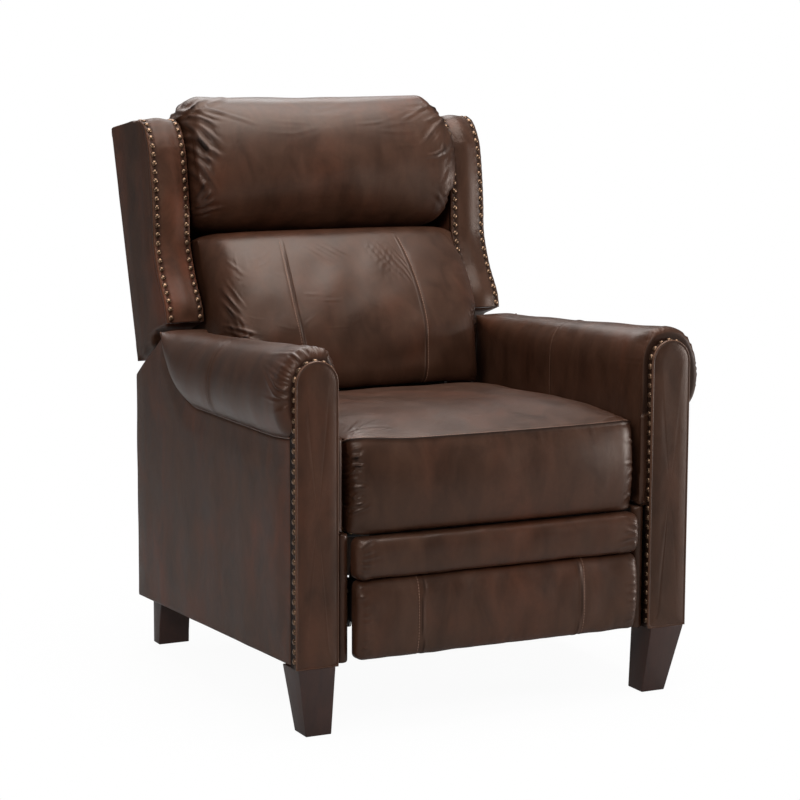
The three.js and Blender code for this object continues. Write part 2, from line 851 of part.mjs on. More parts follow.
function midBracket() {
  const webFrom = boardBack + seatGap;
  const boardMiddle = (midPadLow + midPadHigh) / 2;
  const high = boardMiddle + bossRadius * 2;
  const web = block(layer.mid[0], layer.mid[1] + bossRadius, webFrom, webFrom + webThick, boardMiddle, high);
  const head = disc(webFrom + webThick + midHeadBack, boardMiddle + bossRadius, bossRadius);
  const arm = link([midPivot, midTail], layer.mid, {
    radius: guideBoss, extra: [head], holes: [midPivot], pins: [[midTail, layer.guide]],
  });
  const room = block(
    layer.mid[0] - cutOverrun, layer.mid[1] + cutOverrun, boardFront, webFrom, midPadLow, seatRailLow,
  );
  const flange = block(...layer.mid, webFrom, webFrom + webThick + webFlange, boardMiddle, high);
  return cut(joined(web, arm, flange), room);
}

function footPad(half, low, high, crown, seams) {
  const back = boardFront - seatGap;
  const middleUp = (low + high) / 2;
  const outlineAt = (x) => {
    const points = [[back, low + padRound / 2], [back, high - padRound / 2]];
    const grooves = seams.map((seam) => channel(Math.abs(x) - seam, padSeamWidth, padSeamDepth));
    const groove = Math.max(...grooves, 0);
    for (let i = 0; i <= faceSteps; i += 1) {
      const share = i / faceSteps;
      const up = high - (high - low) * share;
      const corner = fullness(Math.min(up - low, high - up), padRound);
      const bulge = crown * Math.sin(Math.PI * share);
      points.push([padFront + crown + padRound * (1 - corner) - bulge + groove, up]);
    }
    return points;
  };
  const places = stations(half, padRound, seams, padSeamWidth);
  return cushion(half, padRound, places, outlineAt, [back - padRound, middleUp]);
}

function buildFootrest() {
  const half = padHalf - boardInset;
  const board = (low, high) => block(
    -half, half, boardFront, boardBack, low + boardInset / 2, high - boardInset / 2,
  );
  addPiece('footrest_board', board(padLow, padHigh), frameWood);
  addPiece('mid_footrest_board', board(midPadLow, midPadHigh), frameWood);
  addPiece('footrest_pad', footPad(padHalf, padLow, padHigh, padCrown, [padSeamAt]), leather);
  addPiece('mid_footrest_pad', footPad(midPadHalf, midPadLow, midPadHigh, midPadCrown, []), leather);
  addPair('footrest_bracket', footBracket(), steel);
  addPair('mid_footrest_bracket', midBracket(), steel);
}

// Seat: frame, wire springs and cushion

const seatFrameRear = seatFrameFront + seatFrameDepth;
const seatFrameTop = seatRailLow + seatRailHeight;
const seatTopLine = seatSeam + seatTopRise;

function seatSpring(x) {
  const from = seatFrameFront + seatRailThick / 2;
  const to = seatFrameRear - seatRailThick / 2;
  const height = seatFrameTop + springWire + springRise;
  const points = [new THREE.Vector3(x, from - seatRailThick / 4, height)];
  for (let i = 0; i <= springHalfWaves * 2; i += 1) {
    const y = from + ((to - from) * i) / (springHalfWaves * 2);
    const swing = i % 2 ? springSwing * (i % 4 === 1 ? 1 : -1) : 0;
    points.push(new THREE.Vector3(x + swing, y, height));
  }
  points.push(new THREE.Vector3(x, to + seatRailThick / 4, height));
  const wire = polygon(circlePoints(disc(0, 0, springWire)).filter((_, i) => i % 3 === 0));
  return new THREE.ExtrudeGeometry(wire, {
    steps: springHalfWaves * 4, bevelEnabled: false, extrudePath: new THREE.CatmullRomCurve3(points),
  });
}

function seatOutline(x) {
  const across = (x / seatHalf) ** 2;
  const front = seatFront + seatBow * across ** seatBowPower;
  const lipBack = seatFront + seatLipThick;
  const under = seatFrameTop + springWire * 2 + springRise * 2 + seatGap;
  const crown = seatCrown * (1 - across);
  const outline = [];
  for (let i = 0; i <= faceSteps; i += 1) {
    const rise = ((seatSeam - seatLow) * i) / faceSteps;
    const corner = fullness(rise, padRound);
    const bulge = seatFrontBulge * Math.sin((Math.PI * i) / faceSteps);
    const back = front + seatFrontBulge - bulge + padRound * (1 - corner);
    outline.push([Math.min(back, lipBack - seatLipLeast), seatLow + rise]);
  }
  outline.push([front + seatFrontBulge + seatSeamDepth * 2, seatSeam + seatSeamDepth / 2]);
  const curve = new THREE.SplineCurve(seatTopShares.map(([back, up]) => new THREE.Vector2(
    seatFront + (seatRear - seatFront) * back, seatLow + (seatTopLine - seatLow) * up + crown,
  )));
  curve.getPoints(seatTopSteps).forEach((v) => outline.push([Math.max(v.x, front + seatTopFrom), v.y]));
  const rearTop = seatLow + (seatTopLine - seatLow) * seatRearShare;
  outline.push([seatRear, rearTop], [seatRear, under], [lipBack, under], [lipBack, seatLow]);
  return outline;
}

function buildSeat() {
  const inner = seatFrameHalf - seatRailThick;
  const frame = rectangle(-seatFrameHalf, seatFrameHalf, seatFrameFront, seatFrameRear);
  frame.holes.push(rectangle(-inner, inner, seatFrameFront + seatRailThick, seatFrameRear - seatRailThick));
  addPiece('seat_frame', extruded(frame, seatRailHeight).translate(0, 0, seatRailLow), frameWood);
  for (let i = 0; i < springCount; i += 1) {
    const x = (i - (springCount - 1) / 2) * springSpacing;
    addPiece(`seat_spring_${i + 1}`, seatSpring(x), steel);
  }
  const hub = [seatFront + seatLipThick / 2, (seatFrameTop + seatSeam) / 2];
  const places = stations(seatHalf, seatRound);
  addPiece('seat_cushion', cushion(seatHalf, seatRound, places, seatOutline, hub), leather);
}

// Back: everything here is drawn upright and then leaned, with Y 0 at its rear plane

function leaned() {
  const inner = new THREE.Group();
  inner.position.set(0, backFootY, backFootZ);
  inner.rotation.x = -deg(backLeanDeg);
  group.add(inner);
  return inner;
}

// A place of the chair's side view, in the leaned axes of the back.
function toBack([y, z]) {
  const lean = deg(backLeanDeg);
  const [dy, dz] = [y - backFootY, z - backFootZ];
  return [dy * Math.cos(lean) - dz * Math.sin(lean), dy * Math.sin(lean) + dz * Math.cos(lean)];
}

function backFrame() {
  const wide = wingInner - seatGap;
  const outline = polygon([
    [-backFrameHalf, -backFrameLow], [backFrameHalf, -backFrameLow],
    [backFrameHalf, backFrameWiden], [wide, backFrameWiden + backRailWidth / 2],
    [wide, backFrameTop], [-wide, backFrameTop],
    [-wide, backFrameWiden + backRailWidth / 2], [-backFrameHalf, backFrameWiden],
  ]);
  const plate = alongY(outline, -backFrameThick, 0);
  const inner = backFrameHalf - backRailWidth;
  const middleUp = (backFrameTop - backFrameLow) / 2;
  const recess = (low, high) => block(
    -inner, inner, -backFrameThick - cutOverrun, -backWebDepth, low, high,
  );
  return cut(
    plate,
    recess(-backFrameLow + backRailWidth, middleUp - backRailWidth / 2),
    recess(middleUp + backRailWidth / 2, backFrameTop - backRailWidth),
  );
}

function wingCurve(inset) {
  const front = wingFrontShares.map(([up, deep]) => new THREE.Vector2(
    -wingDepth * deep + inset, wingFrontHeight * up,
  ));
  return new THREE.SplineCurve(front).getPoints(wingSteps).map((v) => [v.x, v.y]);
}

function wingUnder(inset) {
  return wingUnderShares.map(([up, deep]) => [-wingDepth * deep + (deep ? inset : 0), wingFrontHeight * up]);
}

const wingFrontTop = -wingDepth * wingTopFrontShare;
const wingFrontHeight = wingTopLine(wingFrontTop);

// The wing's top runs level in the chair, so it slopes in the leaned axes.
function wingTopLine(y) {
  return backHeight + y * Math.tan(deg(backLeanDeg)) * wingTopSlopeShare;
}

function buildWings(parent) {
  const inset = wingFacingThick + seatGap;
  const nose = wingFrontTop + wingTopStep;
  const facing = polygon([
    ...wingCurve(0), [nose, wingFrontHeight], [nose + inset, wingTopLine(nose + inset)],
    ...wingCurve(wingFacingThick).reverse(),
  ]);
  addPair('wing_facing', acrossX(facing, wingInner, wingOuter, wingEdgeRound), leather, parent);
  const body = polygon([
    ...wingCurve(inset), [nose + inset + seatGap, wingTopLine(nose + inset) - seatGap],
    [-seatGap, wingTopLine(0)], ...wingUnder(0).reverse(),
  ]);
  addPair('wing', acrossX(body, wingInner, wingOuter, wingEdgeRound), leather, parent);
}

function backCushionOutline(x) {
  const groove = channel(Math.abs(x) - backSeamAt, backSeamWidth, backSeamDepth);
  const across = Math.abs(x) / backCushionHalf;
  const curve = new THREE.SplineCurve(backCushionShares.slice(1, -1).map(([deep, up]) => new THREE.Vector2(
    -backCushionDepth * deep, backCushionHeight * up,
  )));
  const shown = curve.getPoints(backCushionSteps).map((v) => {
    const onFace = v.x < -backCushionDepth * backFaceShare ? 1 : 0;
    const widest = Math.cos((v.y / backCushionHeight - backSeamWidestShare) * backSeamTurns);
    const bow = backSeamBowShare * x * (1 - across ** 2) * widest * onFace;
    return [v.x + groove * onFace, v.y, bow];
  });
  const first = backCushionShares[0];
  const last = backCushionShares.at(-1);
  const rear = -backFrameThick - seatGap;
  const kept = 1 - backCrownShare * across ** backCrownPower;
  return [
    [rear, backCushionHeight * first[1]],
    ...shown.map(([back, up, bow]) => [rear + (back - rear) * kept, up, bow]),
    [rear, backCushionHeight * last[1]],
  ];
}

function pillowOutline() {
  const curve = new THREE.SplineCurve(pillowShares.slice(1, -1).map(([deep, up]) => new THREE.Vector2(
    -pillowDepth * deep, pillowLow + pillowHeight * up,
  )));
  const rear = -backFrameThick - seatGap;
  return [
    [rear, pillowLow + pillowHeight * pillowShares[0][1]],
    ...curve.getPoints(pillowSteps).map((v) => [v.x, v.y]),
    [rear, pillowLow + pillowHeight * pillowShares.at(-1)[1]],
  ];
}

function outsideBack() {
  const low = [-backNarrowHalf, backNarrowHalf];
  const high = [-backWideHalf, backWideHalf];
  const top = wingTopLine(0);
  return alongY(polygon([
    [low[0], -backTail], [low[1], -backTail], [low[1], backWideFrom], [high[1], backWideFrom],
    [high[1], top], [high[0], top], [high[0], backWideFrom], [low[0], backWideFrom],
  ]), seatGap, seatGap + backPanelThick);
}

function buildBack() {
  const back = leaned();
  addPiece('back_frame', backFrame(), frameWood, back);
  addPiece('outside_back_panel', outsideBack(), leather, back);
  buildWings(back);
  const cushionPlaces = stations(backCushionHalf, backCushionRound, [backSeamAt], backSeamWidth);
  const cushionHub = [-backCushionDepth * backHubShares[0], -backCushionHeight * backHubShares[1]];
  addPiece('back_cushion', cushion(
    backCushionHalf, backCushionRound, cushionPlaces, backCushionOutline, cushionHub,
  ), leather, back);
  const pillowHub = [-pillowDepth / 2, pillowLow + pillowHeight / 2];
  addPiece('head_pillow', cushion(
    pillowHalf, pillowRound, stations(pillowHalf, pillowRound), pillowOutline, pillowHub,
  ), leather, back);

  const hinge = toBack(backPivot);
  const bracket = link([hinge], layer.rocker, {
    radius: hingeBoss,
    extra: [bracketLowUp, bracketHighUp].map((up) => disc(-bracketInset, up, hingeBoss - seatGap)),
    pins: [[hinge, layer.side]],
  });
  addPair('back_bracket', bracket, steel, back);
}

buildLegs();
buildArms();
buildBase();
buildSwing();
buildSidePlates();
buildFootrestLinks();
buildFootrest();
buildSeat();
buildBack();

// The origin is on the floor, under the middle of the chair.
group.updateMatrixWorld(true);
const bounds = new THREE.Box3().setFromObject(group, true);
group.position.y = -(bounds.min.y + bounds.max.y) / 2;
group.updateMatrixWorld(true);

// Where the pivots lie in the chair's side view, for whoever poses it.
group.userData.pivots = Object.fromEntries(Object.entries({
  swing_front: swingFeet[0], swing_rear: swingFeet[1], carriage: swingHeads[1],
  back: backPivot, drive: drivePivot, idler: idlerPivot, long_arm: driveEnd, tilt: crankEnd,
  board: boardPivot, mid: midPivot, guide: lugPivot,
}).map(([name, [y, z]]) => [name, [y + group.position.y, z]]));

export default group;
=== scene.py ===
"""A push-back wingback recliner in antiqued brown leather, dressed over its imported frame.

Lengths are millimetres from the front plane of the arm facings until a mesh is made, which
is in metres in the frame's own axes. The back is drawn upright and then leaned.
"""
import json
import logging
import math
from dataclasses import dataclass, field, replace
from enum import Enum
from typing import Callable, Iterable, Sequence

import bmesh
import bpy
import numpy as np
from mathutils import Matrix, Vector


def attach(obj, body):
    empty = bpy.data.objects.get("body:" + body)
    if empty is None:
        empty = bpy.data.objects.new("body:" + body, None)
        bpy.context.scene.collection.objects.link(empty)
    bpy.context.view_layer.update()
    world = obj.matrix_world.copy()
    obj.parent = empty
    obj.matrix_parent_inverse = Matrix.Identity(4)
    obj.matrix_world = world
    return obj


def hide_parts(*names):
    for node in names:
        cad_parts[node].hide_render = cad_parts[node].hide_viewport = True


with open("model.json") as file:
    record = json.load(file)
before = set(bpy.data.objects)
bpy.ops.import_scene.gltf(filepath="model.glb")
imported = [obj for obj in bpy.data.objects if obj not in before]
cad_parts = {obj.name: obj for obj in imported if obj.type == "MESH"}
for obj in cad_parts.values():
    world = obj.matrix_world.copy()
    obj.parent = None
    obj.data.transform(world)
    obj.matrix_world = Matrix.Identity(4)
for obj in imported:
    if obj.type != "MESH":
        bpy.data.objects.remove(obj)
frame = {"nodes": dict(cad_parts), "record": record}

LOG = logging.getLogger("recliner")
FRONT_PLANE = -466.3193
LEAN = math.radians(17.0)
BACK_FOOT = (801.0, 526.0)
SEED = 23
CLOTH_FRAMES = 20
CLOTH = {"vertex_group_mass": "held", "use_pressure": True, "uniform_pressure_force": 4.0,
         "quality": 6, "tension_stiffness": 18.0, "compression_stiffness": 18.0,
         "shear_stiffness": 8.0, "bending_stiffness": 1.5}

Values = np.ndarray | float
Span = tuple[float, float]
Colour = tuple[int, int, int]
Line = tuple[np.ndarray, np.ndarray]
Rng = np.random.Generator
Socket = bpy.types.NodeSocket


class Side(Enum):
    """The two sides of the chair; the left is the sitter's, towards +X."""

    LEFT = 1
    RIGHT = -1

    @property
    def word(self) -> str:
        """The side's name as the frame's nodes spell it."""
        return self.name.lower()


# Lines and outlines


def way_along(path: np.ndarray) -> np.ndarray:
    """How far along a path each of its points lies."""
    return np.concatenate([[0.0], np.cumsum(np.linalg.norm(np.diff(path, axis=0), axis=1))])


def even(path: np.ndarray, count: int) -> np.ndarray:
    """Places points at even steps along a path.

    Args:
        path: The path's points, one a row.
        count: How many points to return.

    Returns:
        The evenly placed points.
    """
    along = way_along(path)
    at = np.linspace(0.0, along[-1], count)
    return np.stack([np.interp(at, along, path[:, k]) for k in range(path.shape[1])], axis=1)


def ringed(path: Sequence[Sequence[float]], count: int) -> np.ndarray:
    """Places points evenly round a path whose last point is its first."""
    return even(np.array(path, dtype=float), count + 1)[:-1]


def square_to(path: np.ndarray) -> np.ndarray:
    """The directions square to a flat path, on its left."""
    along = np.gradient(path, axis=0)
    along /= np.linalg.norm(along, axis=1, keepdims=True)
    return np.column_stack([-along[:, 1], along[:, 0]])


def drawn_in(curve: np.ndarray, centre: Sequence[float], inset: float,
             share: Values = 1.0) -> np.ndarray:
    """Moves a curve towards a centre, square to itself.

    Args:
        curve: The curve's points.
        centre: The place that it is drawn towards.
        inset: How far, in millimetres.
        share: How much of that each point moves.

    Returns:
        The moved curve.
    """
    inward = square_to(curve)
    inward *= np.sign(((np.asarray(centre) - curve) * inward).sum(1).mean())
    return curve + inward * inset * share


def between(a: np.ndarray, b: np.ndarray, c: np.ndarray, d: np.ndarray, t: Values) -> np.ndarray:
    """The place at t from b to c, on a smooth curve through four places."""
    return 0.5 * (2 * b + (c - a) * t + (2 * a - 5 * b + 4 * c - d) * t**2
                  + (3 * b - a - 3 * c + d) * t**3)


def bezier(*corners: Sequence[float]) -> np.ndarray:
    """A curve of 60 points that four corners pull on."""
    t = np.linspace(0, 1, 60)[:, None]
    a, b, c, d = np.array(corners, dtype=float)
    return a * (1 - t) ** 3 + 3 * b * t * (1 - t) ** 2 + 3 * c * t**2 * (1 - t) + d * t**3


def smooth_line(points: Sequence[Sequence[float]], count: int) -> np.ndarray:
    """Draws a smooth line through points, evenly stepped.

    Args:
        points: The places that the line passes through.
        count: How many points to return.

    Returns:
        The line's points.
    """
    known = np.asarray(points, dtype=float)
    p = np.vstack([2 * known[0] - known[1], known, 2 * known[-1] - known[-2]])
    t = np.linspace(0, 1, 24, endpoint=False)[:, None]
    pieces = [between(*four, t) for four in zip(p[:-3], p[1:-2], p[2:-1], p[3:])]
    return even(np.vstack([*pieces, known[-1:]]), count)


def fullness(distance: Values, round_off: float) -> Values:
    """How full a rounded end is at a distance from its edge, from 0 to 1."""
    share = np.clip(np.asarray(distance) / round_off, 0.0, 1.0)
    return np.sqrt(1.0 - (1.0 - share) ** 2)


def eased(value: Values, low: float, high: float) -> np.ndarray:
    """A smooth step from 0 at low to 1 at high."""
    t = np.clip((np.asarray(value) - low) / (high - low), 0.0, 1.0)
    return t * t * (3.0 - 2.0 * t)


def bump(value: Values, centre: float, width: float) -> np.ndarray:
    """A bell of height 1 at the centre."""
    return np.exp(-(((np.asarray(value) - centre) / width) ** 2))


def leaned(points: np.ndarray) -> np.ndarray:
    """Turns places in the back's own axes (across, back, up) into the chair's.

    Args:
        points: Places drawn upright, with 0 back at the rear plane.

    Returns:
        The same places with the back leaned.
    """
    across, back, up = points[..., 0], points[..., 1], points[..., 2]
    y = BACK_FOOT[0] + back * math.cos(LEAN) + up * math.sin(LEAN)
    z = BACK_FOOT[1] - back * math.sin(LEAN) + up * math.cos(LEAN)
    return np.stack([across, y, z], axis=-1)


def metres(points: np.ndarray) -> np.ndarray:
    """Turns chair millimetres into the frame's metres."""
    moved = np.array(points, dtype=float)
    moved[..., 1] += FRONT_PLANE
    return moved * 0.001


# Creases and folds


@dataclass(frozen=True)
class Crease:
    """A sewn or pressed line in leather, drawn on a piece's flat sheet in millimetres."""

    path: np.ndarray
    width: float
    depth: float
    ridge: float = 0.45
    taper_start: bool = True
    taper_end: bool = True

    def height(self, sheet: np.ndarray) -> np.ndarray:
        """Gives how far the leather stands up or sinks along the crease.

        Args:
            sheet: The flat places of a skin's points, with two columns last.

        Returns:
            The heights in millimetres, below 0 in the crease.
        """
        flat = sheet.reshape(-1, 2)
        low, high = self.path.min(0) - 4 * self.width, self.path.max(0) + 4 * self.width
        near = np.all((flat > low) & (flat < high), axis=1)
        out = np.zeros(len(flat))
        if not near.any():
            return out.reshape(sheet.shape[:-1])
        p = flat[near]
        best = np.full(len(p), np.inf)
        share = np.zeros(len(p))
        last = len(self.path) - 1
        for i in range(last):
            a, b = self.path[i], self.path[i + 1]
            run = b - a
            t = np.clip(((p - a) @ run) / max(run @ run, 1e-9), 0, 1)
            away = np.linalg.norm(p - a - t[:, None] * run, axis=1)
            closer = away < best
            best = np.where(closer, away, best)
            share = np.where(closer, (i + t) / last, share)
        fade = np.ones(len(p))
        if self.taper_start:
            fade *= np.sin(np.pi / 2 * np.clip(share / 0.35, 0, 1))
        if self.taper_end:
            fade *= np.sin(np.pi / 2 * np.clip((1 - share) / 0.55, 0, 1))
        valley = np.exp(-((best / self.width) ** 2))
        crest = np.exp(-(((best - 2.1 * self.width) / (0.95 * self.width)) ** 2))
        out[near] = fade * self.depth * (self.ridge * crest - valley)
        return out.reshape(sheet.shape[:-1])


def wavy(start: Sequence[float], angle: float, length: float, bend: float, rng: Rng) -> np.ndarray:
    """Draws one loose crease line from a place.

    Args:
        start: Where it starts, on the sheet.
        angle: Its first direction, in degrees.
        length: Its length.
        bend: How many degrees it turns along its way.
        rng: Where its small wander comes from.

    Returns:
        The line's points.
    """
    steps = 7
    at = np.array(start, dtype=float)
    turn = math.radians(angle)
    path = [at.copy()]
    for _ in range(steps):
        turn += math.radians(bend) / steps + rng.normal(0, 0.07)
        at = at + length / steps * np.array([math.cos(turn), math.sin(turn)])
        path.append(at.copy())
    return np.array(path)


def fan(origin: Sequence[float], spread: Sequence[float], angles: Sequence[float],
        lengths: Sequence[float], count: int, width: float, depth: float, bend: float,
        rng: Rng) -> list[Crease]:
    """Draws a fan of creases that run out from one line of stitching.

    Args:
        origin: The middle of the fan's foot.
        spread: How far the foot reaches either way along the sheet's two axes.
        angles: The first and the last direction, in degrees.
        lengths: The shortest and the longest crease.
        count: How many creases.
        width: Their width.
        depth: Their depth.
        bend: How many degrees they turn.
        rng: Where their small differences come from.

    Returns:
        The creases.
    """
    creases = []
    for i in range(count):
        share = i / max(1, count - 1)
        start = [origin[k] + spread[k] * (2 * share - 1) + rng.normal(0, 1.5) for k in (0, 1)]
        angle = angles[0] + (angles[1] - angles[0]) * share + rng.normal(0, 4)
        length = rng.uniform(*lengths)
        scale = rng.uniform(0.7, 1.25)
        creases.append(Crease(wavy(start, angle, length, bend * rng.uniform(0.5, 1.5), rng),
                              width * scale, depth * scale, 0.5, taper_start=False))
    return creases


def fans(rows: Iterable[tuple], rng: Rng) -> list[Crease]:
    """Draws one fan for each row of its numbers, in order."""
    return [crease for row in rows for crease in fan(*row, rng)]


def scattered(count: int, across: Span, up: Span, angles: Span, lengths: Span, bend: float,
              widths: Span, depths: Span, rng: Rng, ridge: float = 0.5) -> list[Crease]:
    """Draws loose wrinkles over a part of a sheet.

    Args:
        count: How many.
        across: The range of their places along the sheet's first axis.
        up: The range along its second axis.
        angles: The range of their directions, in degrees.
        lengths: The range of their lengths.
        bend: How many degrees they turn.
        widths: The range of their widths.
        depths: The range of their depths.
        rng: Where their differences come from.
        ridge: How high their rims stand, as a share of the depth.

    Returns:
        The creases.
    """
    creases = []
    for _ in range(count):
        start = (rng.uniform(*across), rng.uniform(*up))
        path = wavy(start, rng.uniform(*angles), rng.uniform(*lengths), bend, rng)
        creases.append(Crease(path, rng.uniform(*widths), rng.uniform(*depths), ridge))
    return creases


def loose_waves(sheet: np.ndarray, size: float, rng: Rng) -> np.ndarray:
    """Soft unevenness, as stuffing shows through leather.

    Args:
        sheet: The flat places of a skin's points.
        size: How far apart the swells are.
        rng: Where their phases come from.

    Returns:
        Heights between about -1 and 1.
    """
    total = np.zeros(sheet.shape[:-1])
    for _ in range(9):
        way = rng.uniform(0, 2 * math.pi)
        pace = 2 * math.pi / (size * rng.uniform(0.6, 1.6))
        phase = rng.uniform(0, 2 * math.pi)
        total += np.sin(pace * (sheet[..., 0] * math.cos(way) + sheet[..., 1] * math.sin(way))
                        + phase)
    return total / 4.5


# Skins: closed surfaces made of rings


def finer(values: np.ndarray, times: int, closed: bool) -> np.ndarray:
    """Adds rows between rows on a smooth curve.

    Args:
        values: Rows of anything.
        times: How many rows take the place of one.
        closed: Whether the last row meets the first.

    Returns:
        The rows with the new ones between.
    """
    if closed:
        near = [np.roll(values, shift, axis=0) for shift in (1, 0, -1, -2)]
    else:
        p = np.concatenate([2 * values[:1] - values[1:2], values, 2 * values[-1:] - values[-2:-1]])
        near = [p[:-3], p[1:-2], p[2:-1], p[3:]]
    rows = np.stack([between(*near, k / times) for k in range(times)], axis=1)
    rows = rows.reshape(-1, *values.shape[1:])
    return rows if closed else np.concatenate([rows, values[-1:]])


def in_scene(name: str, data: bpy.types.ID) -> bpy.types.Object:
    """Makes an object of its data and puts it in the scene."""
    obj = bpy.data.objects.new(name, data)
    bpy.context.scene.collection.objects.link(obj)
    return obj


def set_on(piece: bpy.types.Object, body: str,
           nodes: Sequence[str] = ()) -> None:
    """Sets a finished piece on its body and reports it.

    Args:
        piece: The piece.
        body: The body that it rides on.
        nodes: The frame's nodes that it stands for.
    """
    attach(piece, body)
    if nodes:
        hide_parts(*nodes)
    LOG.info("%s on %s: %d faces", piece.name, body, len(piece.data.polygons))


@dataclass
class Skin:
    """A closed surface of rings, with a flat sheet that says where seams and folds lie."""

    rings: np.ndarray
    sheet: np.ndarray
    # The fold is painted into the leather's colour: painted shade where the surface sinks into a
    # crease or seam, and a paler colour where it stands high.
    fold: np.ndarray = field(default=None)

    def __post_init__(self) -> None:
        """Starts with no fold anywhere."""
        if self.fold is None:
            self.fold = np.zeros(self.rings.shape[:2])

    @property
    def middle_ring(self) -> np.ndarray:
        """The ring halfway along."""
        return self.rings[self.rings.shape[0] // 2]

    def capped(self, shares: Sequence[float], puff: float = 0.0) -> "Skin":
        """Closes both ends with rings that shrink to the end's middle.

        Args:
            shares: How large each added ring is.
            puff: How far the end's middle stands out, in millimetres.

        Returns:
            The skin with its ends.
        """
        ends = []
        for end, beside in ((0, 1), (-1, -2)):
            ring = self.rings[end]
            hub = ring.mean(0)
            out = hub - self.rings[beside].mean(0)
            out = out / max(np.linalg.norm(out), 1e-9)
            ends.append(np.stack([hub + (ring - hub) * s + out * puff * (1 - s**2)
                                  for s in shares]))
        more = (len(shares), len(shares))
        return Skin(np.concatenate([ends[0][::-1], self.rings, ends[1]]),
                    np.pad(self.sheet, (more, (0, 0), (0, 0)), mode="edge"),
                    np.pad(self.fold, (more, (0, 0)), mode="edge"))

    def refined(self, along: int, around: int) -> "Skin":
        """The same surface with more rings and more points on each.

        Args:
            along: How many rings take the place of one.
            around: How many points take the place of one.

        Returns:
            The finer skin.
        """
        def both(values: np.ndarray, closed: bool) -> np.ndarray:
            """Adds rows along, then around."""
            more = finer(values, along, False)
            return np.swapaxes(finer(np.swapaxes(more, 0, 1), around, closed), 0, 1)

        rings = both(self.rings, True)
        width = rings.shape[1]
        flat = np.concatenate([self.sheet, self.sheet[:, -1:]], axis=1)
        fold = np.concatenate([self.fold, self.fold[:, -1:]], axis=1)[..., None]
        return Skin(rings, both(flat, False)[:, :width], both(fold, False)[:, :width, 0])

    def volume_sign(self) -> float:
        """1 where the faces point outwards as they are wound, and -1 where they don't."""
        r = self.rings
        a, b = r[:-1], r[1:]
        c, d = np.roll(b, -1, axis=1), np.roll(a, -1, axis=1)
        centre = r.mean((0, 1))
        cross = np.cross(c - a, d - b)
        return float(np.sign(((a + b + c + d) / 4 - centre).reshape(-1, 3).ravel()
                             @ cross.reshape(-1, 3).ravel()))

    def normals(self) -> np.ndarray:
        """The outward direction at each point."""
        along = np.gradient(self.rings, axis=0)
        around = np.roll(self.rings, -1, axis=1) - np.roll(self.rings, 1, axis=1)
        n = np.cross(along, around) * -self.volume_sign()
        return n / np.maximum(np.linalg.norm(n, axis=2, keepdims=True), 1e-9)

    def raised(self, height: np.ndarray, folded: bool = True) -> "Skin":
        """Moves the surface out along its normals.

        Args:
            height: How far, in millimetres.
            folded: Whether the leather's colour takes this as a fold, painted darker where it sinks
                as shade and paler where it stands high.

        Returns:
            The moved skin.
        """
        fold = self.fold - height if folded else self.fold
        return replace(self, rings=self.rings + self.normals() * height[..., None], fold=fold)

    def creased(self, creases: Iterable[Crease], where: Values = 1.0) -> "Skin":
        """Presses creases into the surface, where it is given as 1 and not as 0."""
        # Painted shade: the creases' depths are kept as folds, which darken the leather in them.
        total = np.zeros(self.rings.shape[:2])
        for crease in creases:
            total += crease.height(self.sheet)
        return self.raised(total * where)

    def uneven(self, size: float, amount: float, where: Values, rng: Rng) -> "Skin":
        """Lets the stuffing show through the leather.

        Args:
            size: How far apart the swells are.
            amount: How high they stand, in millimetres.
            where: 1 where they show and 0 where they don't.
            rng: Where their differences come from.

        Returns:
            The uneven skin.
        """
        return self.raised(loose_waves(self.sheet, size, rng) * amount * where, folded=False)

    def mirrored(self, side: Side) -> "Skin":
        """The skin as drawn for the left, or its mirror image for the right."""
        return replace(self, rings=self.rings * [side.value, 1, 1])

    def mesh_object(self, name: str, finish: bpy.types.Material | None = None,
                    placed: Callable[[np.ndarray], np.ndarray] | None = None) -> bpy.types.Object:
        """Makes the Blender object of this skin.

        Args:
            name: The object's name.
            finish: Its material.
            placed: A turn from the piece's own axes into the chair's, such as the back's lean.

        Returns:
            The object, at the origin, in metres.
        """
        rings = placed(self.rings) if placed else self.rings
        count, around = rings.shape[:2]
        hubs = np.stack([rings[0].mean(0), rings[-1].mean(0)])
        points = metres(np.concatenate([rings.reshape(-1, 3), hubs]))
        i, j = np.meshgrid(np.arange(count - 1), np.arange(around), indexing="ij")
        k = (j + 1) % around
        quads = np.stack([i * around + j, i * around + k, (i + 1) * around + k,
                          (i + 1) * around + j], axis=-1).reshape(-1, 4).tolist()
        j, k = j[0], k[0]
        last = (count - 1) * around
        first_fan = np.stack([np.full(around, count * around), k, j], axis=-1).tolist()
        last_fan = np.stack([np.full(around, count * around + 1), last + j, last + k], axis=-1)
        mesh = bpy.data.meshes.new(name)
        mesh.from_pydata(points.tolist(), [], quads + first_fan + last_fan.tolist())
        mesh.update()
        work = bmesh.new()
        work.from_mesh(mesh)
        if work.calc_volume(signed=True) < 0:
            bmesh.ops.reverse_faces(work, faces=work.faces)
        work.to_mesh(mesh)
        work.free()
        mesh.shade_smooth()
        folds = np.concatenate([self.fold.ravel(), [0.0, 0.0]]).astype(np.float32)
        mesh.attributes.new("fold", "FLOAT", "POINT").data.foreach_set("value", folds)
        if finish:
            mesh.materials.append(finish)
        return in_scene(name, mesh)

